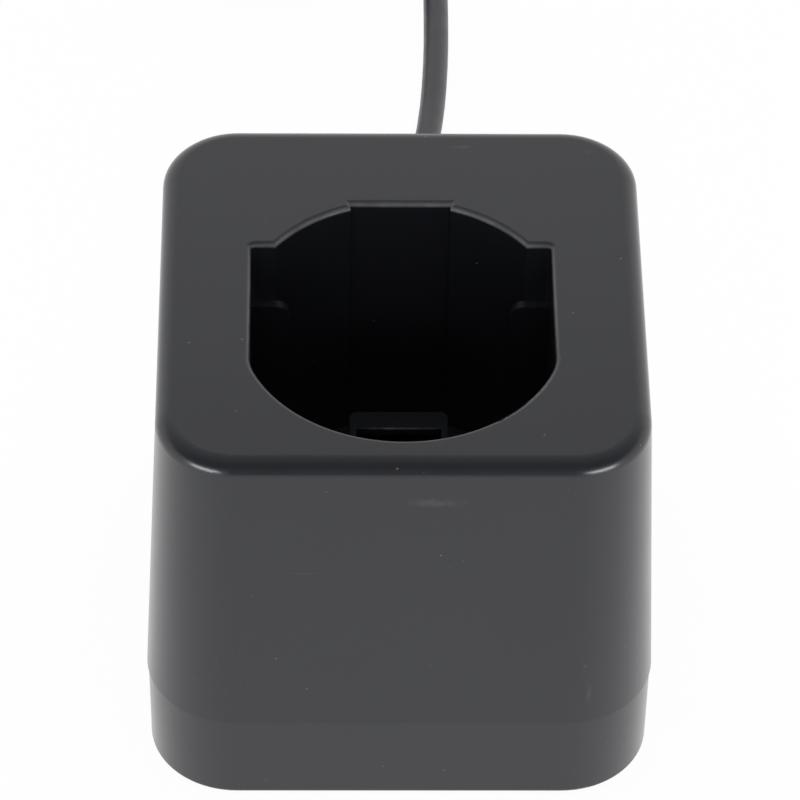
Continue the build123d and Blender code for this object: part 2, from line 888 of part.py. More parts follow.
def transformer_bobbin():
    """Moulded bobbin: sleeve, two flanges and the pin base under the core."""
    x, y = -rear_part_x, rear_part_y
    low, high = bobbin_span()
    width = core_leg + 2 * (core_window - transformer_gap)
    bobbin = bobbin_tube(x, y, bobbin_wall, low, high)
    for start in (low, high - bobbin_wall):
        bobbin += block(width, bobbin_depth, start, start + bobbin_wall, x, y)
    bobbin -= bobbin_tube(x, y, 0, low, high)
    base = block(core_width, bobbin_depth, board_top, board_top + core_base_height, x, y)
    for side in (-1, 1):
        edge = y + side * (bobbin_depth / 2 - bobbin_wall)
        bobbin += block(core_leg, bobbin_wall * 2, board_top, low + bobbin_wall, x, edge)
    return bobbin + base


def transformer_winding():
    """Taped winding on the bobbin's sleeve."""
    x, y = -rear_part_x, rear_part_y
    low, high = bobbin_span()
    width = core_leg + 2 * (core_window - transformer_gap - winding_inset)
    depth = bobbin_depth - 4 * bobbin_wall - 2 * winding_inset
    wound = block(width, depth, low + bobbin_wall, high - bobbin_wall, x, y)
    wound = fillet(wound.edges().filter_by(Axis.Z), can_edge)
    return wound - bobbin_tube(x, y, bobbin_wall, low, high)


def heat_sink():
    """Bent aluminium plate with a foot on the board and a hole for the transistor's screw."""
    high = board_top + sink_height
    sink = block(sink_thickness, sink_width, board_top, high, sink_x, sink_y)
    left = sink_x - sink_thickness / 2 - sink_foot
    front = sink_y - sink_width / 2
    sink += span(left, sink_x, front, front + sink_width, board_top, board_top + sink_thickness)
    level = board_top + transistor_lift + transistor_body_height
    level += (transistor_height - transistor_body_height) / 2
    return sink - along_x(sink_screw_radius + thread_gap, left, sink_x + sink_thickness, sink_y, level)


def power_transistor():
    """Flat-tab switching transistor bolted to the heat sink, on three legs."""
    face = sink_x + sink_thickness / 2
    low = board_top + transistor_lift
    half = transistor_width / 2
    tab_face = face + transistor_tab_thickness
    tab = span(face, tab_face, sink_y - half, sink_y + half, low, low + transistor_height)
    body_face = face + transistor_thickness
    body = span(face, body_face, sink_y - half, sink_y + half, low, low + transistor_body_height)
    level = low + transistor_body_height + (transistor_height - transistor_body_height) / 2
    part = tab + body - along_x(sink_screw_radius + thread_gap, face, tab_face, sink_y, level)
    for place in (-1, 0, 1):
        leg_y = sink_y + place * transistor_leg_pitch
        leg_x = face + transistor_thickness / 2
        part += block(transistor_leg, transistor_leg, board_top, low, leg_x, leg_y)
    return part


def sink_fastener():
    """Screw and nut through the transistor's tab and the heat sink."""
    near = sink_x - sink_thickness / 2
    far = sink_x + sink_thickness / 2 + transistor_tab_thickness
    level = board_top + transistor_lift + transistor_body_height
    level += (transistor_height - transistor_body_height) / 2
    shank = along_x(sink_screw_radius, near - sink_nut_thickness, far, sink_y, level)
    head = along_x(sink_screw_head, far, far + small_screw_head_height, sink_y, level)
    nut = extrude(RegularPolygon(sink_screw_head, 6), amount=sink_nut_thickness)
    nut = Pos(near - sink_nut_thickness, sink_y, level) * Rot(0, 90, 0) * nut
    hole = along_x(sink_screw_radius + thread_gap, near - sink_nut_thickness, near, sink_y, level)
    return group([shank + head, nut - hole])


def legged_chip(size, place, legs):
    """Moulded chip on two rows of legs."""
    width, depth, height = size
    x, y = place
    low = board_top + chip_lift
    chip = block(width, depth, low, low + height, x, y)
    chip = chamfer(chip.edges().group_by(Axis.Z)[-1], chip_lift / 2)
    for step in range(legs):
        leg_x = x + (step - (legs - 1) / 2) * chip_leg_pitch
        for side in (-1, 1):
            leg_y = y + side * (depth / 2 + chip_leg / 2)
            chip += block(chip_leg, chip_leg, board_top, low + height / 2, leg_x, leg_y)
    return chip


# ---------------------------------------------------------------- mains lead
def strain_relief():
    """Tapered rubber sleeve held in the rear wall by a groove, with ring notches for bending."""
    inner_face = wall_rear - wall - base_inset - relief_wall_gap
    outer_face = wall_rear + relief_wall_gap
    taper_end = outer_face + relief_flange_outer + relief_taper_length
    start = inner_face - relief_flange_inner
    sleeve = along_y(relief_flange_radius, start, inner_face, 0, cord_level)
    sleeve += along_y(relief_neck_radius, inner_face, outer_face, 0, cord_level)
    sleeve += along_y(relief_flange_radius, outer_face, outer_face + relief_flange_outer, 0, cord_level)
    cone = Cone(
        relief_taper_start,
        relief_taper_end,
        relief_taper_length,
        align=(Align.CENTER, Align.CENTER, Align.MIN),
    )
    sleeve += Pos(0, outer_face + relief_flange_outer, cord_level) * Rot(-90, 0, 0) * cone
    for step in range(relief_groove_count):
        front = outer_face + relief_flange_outer + relief_groove_first + step * relief_groove_pitch
        along = (front - outer_face - relief_flange_outer) / relief_taper_length
        radius = relief_taper_start + (relief_taper_end - relief_taper_start) * along
        rear = front + relief_groove_width
        low, high = cord_level - radius, cord_level + radius
        ring = along_y(relief_flange_radius, front, rear, 0, cord_level)
        core = along_y(radius - relief_groove_depth, front, rear, 0, cord_level)
        bridge = span(-radius / 2, radius / 2, front, rear, low, high)
        if step % 2:
            bridge = span(-radius, radius, front, rear, cord_level - radius / 2, cord_level + radius / 2)
        sleeve -= ring - core - bridge
    return sleeve - along_y(cord_radius + cord_gap, start, taper_end, 0, cord_level)


def cord_inner():
    """The lead's sheathed end inside the base, from the clamp to the outside of the wall."""
    return along_y(cord_radius, cord_inner_end, wall_rear, 0, cord_level)


def conductor(side):
    """Insulated core from the end of the sheath into the terminal block."""
    start_x = side * conductor_pitch / 2
    end_x = side * terminal_pitch / 2
    entry = board_top + terminal_entry_height
    gap = cord_inner_end - terminal_rear
    points = [
        (start_x, cord_inner_end, cord_level),
        (start_x, cord_inner_end - gap / 4, cord_level),
        (end_x, terminal_rear + gap / 5, entry),
        (end_x, terminal_rear - terminal_entry_depth, entry),
    ]
    return tube(points, conductor_radius)


def clamp_bar():
    """Bar that presses the lead into its saddle."""
    high = cord_level + clamp_bar_height
    bar = block(clamp_width, clamp_depth, cord_level, high, 0, clamp_y)
    bar = fillet(bar.edges().filter_by(Axis.Z), can_edge)
    bar -= along_y(cord_radius + cord_gap, clamp_y - clamp_depth, clamp_y + clamp_depth, 0, cord_level)
    for side in (-1, 1):
        hole = small_screw_radius + screw_hole_gap
        bar -= upright(hole, cord_level, high, side * clamp_screw_x, clamp_y)
    return bar


def clamp_screws():
    """Two screws through the bar into the saddle."""
    high = cord_level + clamp_bar_height
    one = Rot(180, 0, 0) * screw(screw_size, clamp_screw_length)
    return group([Pos(side * clamp_screw_x, clamp_y, high) * one for side in (-1, 1)])


def bend_radii(points):
    """Arc at each inner point, as large as its two runs allow."""
    radii = []
    for before, here, after in zip(points, points[1:], points[2:]):
        run_in = Vector(here) - Vector(before)
        run_out = Vector(after) - Vector(here)
        half = math.radians(run_in.get_angle(run_out)) / 2
        radii.append(0.45 * min(run_in.length, run_out.length) / math.tan(half))
    return radii


def tube(points, radius):
    """Round tube along straight runs joined by tangent arcs."""
    path = FilletPolyline(*points, radius=bend_radii(points))
    return sweep(Plane(path @ 0, z_dir=path % 0) * Circle(radius), path=path)


def outer_turn():
    """Centreline radius of the coil's outermost turns."""
    return coil_middle_radius + (coil_turns_wide - 1) * cord_radius


def coil_edge(side):
    """Outer (1) or inner (-1) radius of the coil."""
    return coil_middle_radius + side * coil_turns_wide * cord_radius


def coil_top():
    """Height of the coil's upper side."""
    return coil_lift + coil_layers * 2 * cord_radius


def coil_centre():
    """Middle of the put-away coil, which the lead meets on its right side, heading back."""
    return route_x[-1] - outer_turn(), wall_rear + route_y[-1] + coil_run_in


def coil_reach():
    """Distance along Y from the coil's middle to where its outermost turn leaves the coil's shape."""
    return math.sqrt(coil_edge(1) ** 2 - outer_turn() ** 2)


def cord_points():
    """The lead's route from the wall to the coil: out of its sleeve, down, then along the table."""
    heights = [cord_level, cord_level] + [cord_radius] * (len(route_x) - 2)
    points = [(x, wall_rear + y, z) for x, y, z in zip(route_x, route_y, heights)]
    x, y = coil_centre()
    points.append((x + outer_turn() + cord_gap, y - coil_reach(), coil_lift + cord_radius))
    return points


def cord_coil():
    """Outer shape of the put-away turns: a flat ring lying on its tie."""
    x, y = coil_centre()
    ring = upright(coil_edge(1), coil_lift, coil_top(), x, y)
    return ring - upright(coil_edge(-1), coil_lift, coil_top(), x, y)


def coil_tie():
    """Band round the turns."""
    x, y = coil_centre()
    radial = 2 * coil_turns_wide * cord_radius + 2 * tie_gap
    high = coil_top() + tie_gap
    outer = block(radial + 2 * tie_thickness, tie_width, 0, high + tie_thickness)
    band = outer - block(radial, tie_width, tie_thickness, high)
    return Pos(x, y, 0) * Rot(0, 0, tie_angle) * Pos(coil_middle_radius, 0, 0) * band


def tail_points():
    """The last stretch: off the top of the coil, down, and level into the plug's sleeve."""
    x, y = coil_centre()
    high = coil_top() - cord_radius
    level = plug_thickness / 2
    heights = [high, high - tail_drop, level - tail_drop / 2, level, level]
    start_x = x + outer_turn()
    start_y = y + coil_reach()
    return [(start_x + dx, start_y + dy, z) for dx, dy, z in zip(tail_out, tail_back, heights)]


def on_plug(shape):
    """Turn and move a shape drawn with its sleeve's end at the origin and its face towards +Y."""
    before, last = [Vector(point) for point in tail_points()[-2:]]
    way = last - before
    turn = -math.degrees(math.atan2(way.X, way.Y))
    return Pos(last.X, last.Y, last.Z) * Rot(0, 0, turn) * shape


def plug_body():
    """Flat two-pin plug lying on its side, with a tapered sleeve for the lead."""
    rear = plug_relief_length
    shoulder = rear + plug_length - plug_face_length
    face = rear + plug_length
    half = plug_width / 2
    half_rear = plug_rear_width / 2
    plan = Polygon(
        (-half_rear, rear),
        (half_rear, rear),
        (half, shoulder),
        (half, face),
        (-half, face),
        (-half, shoulder),
        align=None,
    )
    body = prism(plan, -plug_thickness / 2, plug_thickness / 2)
    body = fillet(body.edges().filter_by(Axis.Z), plug_edge)
    body = fillet(body.edges().group_by(Axis.Z)[0] + body.edges().group_by(Axis.Z)[-1], plug_edge)
    cone = Cone(
        plug_relief_rear,
        plug_relief_front,
        plug_relief_length,
        align=(Align.CENTER, Align.CENTER, Align.MIN),
    )
    body += Rot(-90, 0, 0) * cone
    for side in (-1, 1):
        x = side * pin_pitch / 2
        body -= along_y(pin_radius + pin_gap, face - pin_root, face, x, 0)
    return on_plug(body)


def plug_pins():
    """Two round pins, thinner under their sleeves."""
    face = plug_relief_length + plug_length
    sleeve_end = face + pin_sleeve_length
    pins = []
    for side in (-1, 1):
        x = side * pin_pitch / 2
        bare = along_y(pin_radius, sleeve_end, face + pin_length, x, 0)
        bare = fillet(bare.edges().group_by(Axis.Y)[-1], pin_tip)
        pins.append(on_plug(bare + along_y(pin_core_radius, face - pin_root, sleeve_end, x, 0)))
    return group(pins)


def pin_sleeves():
    """Insulating sleeves on the first half of each pin."""
    face = plug_relief_length + plug_length
    sleeves = []
    for side in (-1, 1):
        x = side * pin_pitch / 2
        outer = along_y(pin_radius, face - pin_root, face + pin_sleeve_length, x, 0)
        bore = along_y(pin_core_radius, face - pin_root, face + pin_sleeve_length, x, 0)
        sleeves.append(on_plug(outer - bore))
    return group(sleeves)


# ---------------------------------------------------------------- write every node
os.makedirs("parts", exist_ok=True)
write("upper_housing", upper_housing())
write("base_cover", base_cover())
write("rubber_feet", rubber_feet())
write("housing_screws", housing_screws())
write("contact_carrier", contact_carrier())
write("carrier_screws", carrier_screws())
write("contact_board", contact_board())
write("contact_pads", contact_pads())
for name, stud_x in stud_places.items():
    write(f"contact_stud_{name}", contact_stud(stud_x))
    write(f"contact_spring_{name}", contact_spring(stud_x))
write("positive_lead", contact_lead(-1))
write("sense_lead", contact_lead(0))
write("negative_lead", contact_lead(1))
write("lead_socket", lead_socket())
write("main_board", main_board())
write("board_screws", board_screws())
write("mains_terminal", mains_terminal())
write("terminal_screws", terminal_screws())
write("fuse_glass", fuse_glass())
write("fuse_caps", fuse_caps())
write("fuse_clips", fuse_clips())
write("varistor", disc_part(varistor_x, varistor_y, varistor_radius, varistor_thickness))
write("suppression_capacitor", x_capacitor())
write("choke_core", choke_core())
write("choke_windings", choke_windings())
write("rectifier_diodes", rectifier_diodes())
write("bulk_capacitor", bulk_capacitor())
write("transformer_core", transformer_core())
write("transformer_bobbin", transformer_bobbin())
write("transformer_winding", transformer_winding())
write("heat_sink", heat_sink())
write("power_transistor", power_transistor())
write("heat_sink_screw", sink_fastener())
write("control_chip", legged_chip(chip_size, chip_place, 4))
write("optocoupler", legged_chip(coupler_size, coupler_place, 2))
write("output_diode", output_diode())
write("output_capacitors", output_capacitor_group())
write("board_resistors", board_resistors())
write("barrier_capacitor", disc_part(*suppressor_place, suppressor_radius, suppressor_thickness))
write("strain_relief", strain_relief())
write("cord_inner_end", cord_inner())
write("live_conductor", conductor(-1))
write("neutral_conductor", conductor(1))
write("cord_clamp_bar", clamp_bar())
write("cord_clamp_screws", clamp_screws())
write("power_cord", tube(cord_points(), cord_radius))
write("cord_coil", cord_coil())
write("coil_tie", coil_tie())
write("cord_tail", tube(tail_points(), cord_radius))
write("plug_body", plug_body())
write("plug_pins", plug_pins())
write("pin_sleeves", pin_sleeves())
print("lead bends, mm:", [round(radius, 1) for radius in bend_radii(cord_points())])
print("tail bends, mm:", [round(radius, 1) for radius in bend_radii(tail_points())])
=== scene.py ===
"""Drop-in charger for stem-type power tool batteries: its finishes, springs, mains lead and studio."""
import math

import bmesh
import bpy
from bpy.props import FloatProperty, FloatVectorProperty, IntProperty, PointerProperty
from mathutils import Matrix, Vector


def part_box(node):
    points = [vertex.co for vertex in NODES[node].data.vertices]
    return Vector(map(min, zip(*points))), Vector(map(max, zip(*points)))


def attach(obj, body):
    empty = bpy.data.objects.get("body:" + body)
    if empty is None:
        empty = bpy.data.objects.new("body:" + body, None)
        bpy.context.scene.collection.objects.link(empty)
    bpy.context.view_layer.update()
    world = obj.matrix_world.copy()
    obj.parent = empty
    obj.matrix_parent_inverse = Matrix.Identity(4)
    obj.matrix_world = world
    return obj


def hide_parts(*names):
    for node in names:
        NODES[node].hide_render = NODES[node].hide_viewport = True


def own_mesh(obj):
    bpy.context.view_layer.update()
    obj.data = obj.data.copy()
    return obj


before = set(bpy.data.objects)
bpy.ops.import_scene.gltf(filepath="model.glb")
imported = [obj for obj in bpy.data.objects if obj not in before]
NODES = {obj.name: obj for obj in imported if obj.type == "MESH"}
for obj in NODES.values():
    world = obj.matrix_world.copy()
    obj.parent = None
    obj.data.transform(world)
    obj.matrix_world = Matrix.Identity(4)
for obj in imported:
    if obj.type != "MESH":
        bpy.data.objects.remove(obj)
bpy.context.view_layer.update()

bl_info = {
    "name": "Battery charger",
    "version": (1, 0, 0),
    "blender": (4, 5, 0),
    "location": "3D View > Sidebar > Charger",
    "description": "Finishes, springs and lead for a drop-in power tool battery charger",
    "category": "Object",
}

MM = 0.001
MM_IN_METRE = 1000.0
ROOT = "charger"

# Route of the lead in millimetres: out of the rear wall, down, then along the table to the coil.
LEAD_EXIT = (0.0, 50.95, 10.8)
LEAD_ROUTE = [
    LEAD_EXIT,
    (0.0, 96.35, 10.8),
    (8.5, 141.35, 2.85),
    (10.8, 169.35, 2.85),
    (11.0, 198.35, 2.85),
    (11.05, 222.97, 3.65),
]
TAIL_ROUTE = [
    (11.0, 253.73, 9.35),
    (11.2, 266.73, 5.95),
    (12.4, 280.73, 5.15),
    (13.9, 294.73, 6.85),
    (15.1, 305.73, 6.85),
]
# The coil, the springs and the studs, in millimetres.
COIL_CENTRE = (-29.05, 238.35)
COIL_OUTER_TURN = 40.05
COIL_MIDDLE = 31.5
COIL_LEVELS = (3.65, 9.35)
COIL_TOP = 12.2
SPRING_BOTTOM = 21.7
SPRING_TOP = 35.7
STUD_AXIS_Y = -2.0
STUD_SPACING = 5.2
# Rise of a closed end turn of a spring, in thicknesses of its wire.
CLOSED_PITCH = 1.06
WIRES_ON_CHOKE = 60


def linear(code):
    """Linear colour of an sRGB hex value."""
    parts = [int(code[place:place + 2], 16) / 255 for place in (1, 3, 5)]
    return tuple(c / 12.92 if c <= 0.04045 else ((c + 0.055) / 1.055) ** 2.4 for c in parts)


def colour(name, description, code):
    """Colour property with its default as an sRGB hex value."""
    return FloatVectorProperty(
        name=name, description=description, subtype="COLOR", size=3, min=0, max=1, default=linear(code)
    )


def length(name, description, millimetres):
    """Length property with its default in millimetres."""
    return FloatProperty(
        name=name, description=description, unit="LENGTH", precision=4, min=0, default=millimetres * MM
    )


def power(name, description, watts):
    """Power property with its default in watts."""
    return FloatProperty(name=name, description=description, unit="POWER", min=0, default=watts)


def middle_of(name):
    """Middle of a node in millimetres."""
    low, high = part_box(name)
    return [(a + b) / 2 / MM for a, b in zip(low, high)]


def top_of(name):
    """Height of a node's top in millimetres."""
    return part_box(name)[1][2] / MM


# ---------------------------------------------------------------- settings
class ShellSettings(bpy.types.PropertyGroup):
    """What a user would change on the moulded case."""

    case: colour("Case", "Black ABS of the housing and base", "#17181c")
    # The pale colour serves for specks and rubbed spots, and also for the highlights painted on the well rim
    # and the pedestal lip.
    dust_and_highlight: colour("Dust", "Pale dust and rubbed spots on the case", "#8f8f8c")
    feet: colour("Feet", "Rubber of the four feet", "#1c1c1d")
    grain: length("Grain", "Spacing of the moulded grain", 0.35)


class ContactSettings(bpy.types.PropertyGroup):
    """What a user would change on the sprung contacts."""

    carrier: colour("Carrier", "Glass-filled nylon of the contact carrier", "#131314")
    stud: colour("Stud", "Metal of the contact studs", "#d9c48a")
    spring: colour("Spring", "Drawn spring wire", "#b7b4ad")
    wire: length("Wire", "Thickness of the spring wire", 0.55)
    coil: length("Coil", "Mean diameter of the springs", 3.5)
    turns: IntProperty(name="Turns", description="Turns of each spring", min=4, default=7)


class BoardSettings(bpy.types.PropertyGroup):
    """What a user would change on the circuit boards and their parts."""

    mask: colour("Solder mask", "Lacquer on the boards", "#1f5a34")
    tape: colour("Tape", "Polyester tape on the transformer", "#e0a92e")
    copper: colour("Copper", "Enamelled winding wire", "#b4602c")
    lacquer: colour("Lacquer", "Dipped lacquer of the disc parts", "#2c5f9e")


class LeadSettings(bpy.types.PropertyGroup):
    """What a user would change on the mains lead."""

    sheath: colour("Sheath", "PVC of the lead", "#2a2b31")
    plug: colour("Plug", "PVC of the plug and its sleeve", "#1d1d20")
    strap: colour("Strap", "Woven strap round the coil", "#18181a")
    diameter: length("Diameter", "Thickness of the round lead", 5.7)
    turns: IntProperty(name="Turns", description="Turns in each layer of the coil", min=1, default=4)
    full_length: length("Length", "Full length of the lead", 1840.0)
    strap_width: length("Strap width", "Width of the strap", 6.0)


class StageSettings(bpy.types.PropertyGroup):
    """Floor, lamps and camera."""

    floor: colour("Floor", "Pale floor", "#f4f4f4")
    focal_length: FloatProperty(name="Focal length", description="Lens in millimetres", default=230.19)
    key_power: power("Key lamp", "Watts of the overhead lamp", 9.0)
    front_power: power("Front lamp", "Watts of the lamp in front", 7.0)
    side_power: power("Side lamps", "Watts of each low side lamp", 1.6)


# ---------------------------------------------------------------- helpers for materials
def put(tree, kind, sockets=None, **settings):
    """Adds a node, or takes a made one, with its settings and its inputs, which are values or links."""
    made = tree.nodes.new(kind) if isinstance(kind, str) else kind
    for name, value in settings.items():
        setattr(made, name, value)
    for name, value in (sockets or {}).items():
        if isinstance(value, bpy.types.NodeSocket):
            tree.links.new(value, made.inputs[name])
        else:
            made.inputs[name].default_value = value
    return made


def blank(name):
    """New material with its surface shader and object coordinates."""
    material = bpy.data.materials.new(name)
    material.use_nodes = True
    tree = material.node_tree
    tree.nodes.clear()
    shader = put(tree, "ShaderNodeBsdfPrincipled")
    put(tree, "ShaderNodeOutputMaterial", {"Surface": shader.outputs["BSDF"]})
    place = put(tree, "ShaderNodeTexCoord").outputs["Object"]
    return material, tree, shader, place


def rgba(value, share=1.0):
    """Colour with full opacity, from hex or a linear triple, made lighter or darker by a share."""
    parts = linear(value) if isinstance(value, str) else tuple(value)
    return (*(min(1.0, c * share) for c in parts), 1.0)


def patches(tree, place, size_mm, low=0.0, high=1.0, detail=3.0):
    """Value that wanders between two limits in soft patches about size_mm across."""
    field = {"Vector": place, "Scale": MM_IN_METRE / size_mm, "Detail": detail}
    cloud = put(tree, "ShaderNodeTexNoise", field)
    sockets = {"Value": cloud.outputs["Fac"], "From Min": 0.3, "From Max": 0.7, "To Min": low, "To Max": high}
    return put(tree, "ShaderNodeMapRange", sockets).outputs["Result"]


def uneven_tone(tree, place, tone, size_mm, share):
    """Colour that drifts a little darker and lighter in soft patches."""
    sockets = {0: patches(tree, place, size_mm), 6: rgba(tone, 1 - share), 7: rgba(tone, 1 + share)}
    return put(tree, "ShaderNodeMix", sockets, data_type="RGBA").outputs[2]


def grained(tree, shader, place, size_mm, depth_mm):
    """Fine grain pressed into the surface."""
    grain = put(tree, "ShaderNodeTexNoise", {"Vector": place, "Scale": MM_IN_METRE / size_mm, "Detail": 2.0})
    bump = put(tree, "ShaderNodeBump", {"Height": grain.outputs["Fac"], "Distance": depth_mm * MM})
    put(tree, shader, {"Normal": bump.outputs["Normal"]})


def scattered(tree, place, cell_mm, reach, share):
    """One in small blobs strewn through the cells, in that share of them, else nothing."""
    scale = tuple(MM_IN_METRE / size for size in cell_mm)
    spread = put(tree, "ShaderNodeMapping", {"Vector": place, "Rotation": (0.4, 0.3, 0.7), "Scale": scale})
    cells = put(tree, "ShaderNodeTexVoronoi", {"Vector": spread.outputs["Vector"], "Scale": 1.0})
    draw = put(tree, "ShaderNodeSeparateColor", {"Color": cells.outputs["Color"]}).outputs[0]
    chosen = put(tree, "ShaderNodeMath", {0: draw, 1: share}, operation="LESS_THAN").outputs[0]
    sockets = {"Value": cells.outputs["Distance"], "From Min": reach * 0.6, "From Max": reach}
    near = put(tree, "ShaderNodeMapRange", {**sockets, "To Min": 1.0, "To Max": 0.0}).outputs["Result"]
    return put(tree, "ShaderNodeMath", {0: near, 1: chosen}, operation="MULTIPLY").outputs[0]


def strongest(tree, values):
    """Largest of several values."""
    top = values[0]
    for value in values[1:]:
        top = put(tree, "ShaderNodeMath", {0: top, 1: value}, operation="MAXIMUM").outputs[0]
    return top


def rub_mark(tree, place, centre_mm, reach_mm):
    """One at the middle of a soft patch, falling to nothing at its edge."""
    centre = [c * MM for c in centre_mm]
    shift = put(tree, "ShaderNodeVectorMath", {0: place, 1: centre}, operation="SUBTRACT")
    scaled = {0: shift.outputs[0], 1: [1 / (r * MM) for r in reach_mm]}
    unit = put(tree, "ShaderNodeVectorMath", scaled, operation="MULTIPLY")
    far = put(tree, "ShaderNodeVectorMath", {0: unit.outputs[0]}, operation="LENGTH").outputs["Value"]
    sockets = {"Value": far, "From Min": 0.3, "From Max": 1.0, "To Min": 1.0, "To Max": 0.0}
    return put(tree, "ShaderNodeMapRange", sockets).outputs["Result"]


def finish(name, material):
    """Gives a node or a new piece its material."""
    piece = NODES[name] if isinstance(name, str) else name
    piece.data.materials.clear()
    piece.data.materials.append(material)


# ---------------------------------------------------------------- materials
# Rubbed spots on the case in millimetres: middle, then reach along each axis.
RUB_MARKS = [
    ((6.2, -48.6, 80.1), (6.5, 4.0, 1.3)),
    ((36.6, -50.9, 29.4), (0.7, 2.0, 3.6)),
    ((39.2, -50.9, 28.0), (0.5, 2.0, 3.0)),
    ((40.9, -51.1, 24.6), (0.6, 2.0, 0.7)),
    ((35.7, -50.5, 36.7), (0.6, 2.0, 0.8)),
    ((41.4, -50.8, 31.6), (0.5, 2.0, 0.9)),
    ((12.4, 42.3, 89.4), (2.6, 0.5, 1.0)),
    ((37.9, 40.9, 89.4), (1.2, 0.7, 1.0)),
]
# The edges that the battery passes on its way in, in the same form: pale bands are painted there as
# highlights and made to look like scuffs.
PEDESTAL_LIP_HIGHLIGHT = ((0.0, 6.9, 45.3), (9.5, 0.4, 0.45))
WELL_RIM_HIGHLIGHT = ((0.0, -3.0, 88.78), (41.0, 41.0, 0.8))


def satin_black_abs(name, tone, dust_and_highlight, grain_mm):
    """Black ABS from a finely spark-eroded mould: an even satin that mirrors the room softly.

    Handling leaves pale specks and hairlines, and pale rough bands painted on the well rim and the pedestal
    lip stand in for highlights there.
    """
    material, tree, shader, place = blank(name)
    even = uneven_tone(tree, place, tone, 30.0, 0.06)
    specks = scattered(tree, place, (4.2, 4.2, 4.2), 0.044, 0.5)
    motes = scattered(tree, place, (2.3, 2.3, 2.3), 0.055, 0.35)
    hairs = scattered(tree, place, (60.0, 0.9, 0.9), 0.075, 0.06)
    rubs = strongest(tree, [rub_mark(tree, place, middle, reach) for middle, reach in RUB_MARKS])
    patchy = patches(tree, place, 1.6, 0.0, 0.1)
    # Painted highlights: pale, rougher bands on the pedestal lip and along the well rim.
    lip = rub_mark(tree, place, *PEDESTAL_LIP_HIGHLIGHT)
    rim = rub_mark(tree, place, *WELL_RIM_HIGHLIGHT)
    lip_highlight_strength = patches(tree, place, 2.5, 0.05, 0.3)
    rim_highlight_strength = patches(tree, place, 4.0, 0.5, 0.9)
    shares = {specks: 0.5, motes: 0.18, hairs: 0.2, rubs: patchy, lip: lip_highlight_strength, rim: rim_highlight_strength}
    faded = []
    for mark, share in shares.items():
        faded.append(put(tree, "ShaderNodeMath", {0: mark, 1: share}, operation="MULTIPLY").outputs[0])
    all_marks = strongest(tree, faded)
    worn_and_highlit = put(tree, "ShaderNodeMix", {0: all_marks, 6: even, 7: rgba(dust_and_highlight)}, data_type="RGBA").outputs[2]
    polish = patches(tree, place, 14.0, 0.3, 0.35, 5.0)
    duller = {0: all_marks, 1: 0.4, 2: polish}
    rough = put(tree, "ShaderNodeMath", duller, operation="MULTIPLY_ADD").outputs[0]
    put(tree, shader, {"Base Color": worn_and_highlit, "Roughness": rough, "IOR": 1.26, "Specular Tint": rgba("#e4e8ff")})
    put(tree, shader, {"Coat Weight": 0.9, "Coat Roughness": 0.26, "Coat IOR": 1.5})
    grained(tree, shader, place, grain_mm, 0.0016)
    return material


def moulded(name, tone, roughness, grain_mm, depth_mm):
    """Injection-moulded plastic or rubber: even colour with faint flow clouds, and the mould's fine grain."""
    material, tree, shader, place = blank(name)
    tint = uneven_tone(tree, place, tone, 12.0, 0.09)
    polish = patches(tree, place, 5.0, roughness - 0.04, roughness + 0.04)
    put(tree, shader, {"Base Color": tint, "Roughness": polish})
    grained(tree, shader, place, grain_mm, depth_mm)
    return material


def glass_filled_nylon(name, tone):
    """Glass-filled nylon: dull black with pale fibre ends that break its gloss."""
    material, tree, shader, place = blank(name)
    even = uneven_tone(tree, place, tone, 8.0, 0.12)
    fibres = scattered(tree, place, (1.6, 0.22, 0.22), 0.16, 0.35)
    pale = put(tree, "ShaderNodeMath", {0: fibres, 1: 0.12}, operation="MULTIPLY").outputs[0]
    mixed = put(tree, "ShaderNodeMix", {0: pale, 6: even, 7: rgba("#8a8a86")}, data_type="RGBA").outputs[2]
    put(tree, shader, {"Base Color": mixed, "Roughness": patches(tree, place, 1.2, 0.42, 0.6)})
    grained(tree, shader, place, 0.25, 0.003)
    return material


def plated(name, tone, roughness, streak_mm, stretch=(1.0, 1.0, 1.0)):
    """Turned or drawn metal under thin plating: bright, with fine tool lines and slightly uneven polish."""
    material, tree, shader, place = blank(name)
    stretched = put(tree, "ShaderNodeMapping", {"Vector": place, "Scale": stretch}).outputs["Vector"]
    put(tree, shader, {"Base Color": uneven_tone(tree, place, tone, 3.0, 0.05), "Metallic": 1.0})
    put(tree, shader, {"Roughness": patches(tree, stretched, streak_mm, roughness - 0.07, roughness + 0.07)})
    grained(tree, shader, stretched, streak_mm, 0.002)
    return material


def masked_laminate(name, mask):
    """Glass-epoxy board under green solder mask: glossy, with paler copper tracks and tinned pads."""
    material, tree, shader, place = blank(name)
    cell = put(tree, "ShaderNodeTexBrick", {"Vector": place, "Scale": MM_IN_METRE, "Mortar Size": 0.4})
    put(tree, cell, {"Brick Width": 6.2, "Row Height": 2.54, "Mortar Smooth": 0.1})
    put(tree, cell, {"Color1": (0, 0, 0, 1), "Color2": (0, 0, 0, 1), "Mortar": (1, 1, 1, 1)})
    tracks = cell.outputs["Fac"]
    shades = {0: tracks, 6: rgba(mask, 0.8), 7: rgba(mask, 1.7)}
    laid = put(tree, "ShaderNodeMix", shades, data_type="RGBA").outputs[2]
    vias = scattered(tree, place, (5.08, 5.08, 5.08), 0.14, 0.5)
    tinned = put(tree, "ShaderNodeMix", {0: vias, 6: laid, 7: rgba("#c9c9c4")}, data_type="RGBA").outputs[2]
    polish = patches(tree, place, 3.0, 0.22, 0.34)
    put(tree, shader, {"Base Color": tinned, "Metallic": vias, "Roughness": polish})
    lift = put(tree, "ShaderNodeBump", {"Height": tracks, "Distance": 0.035 * MM})
    put(tree, shader, {"Normal": lift.outputs["Normal"]})
    return material


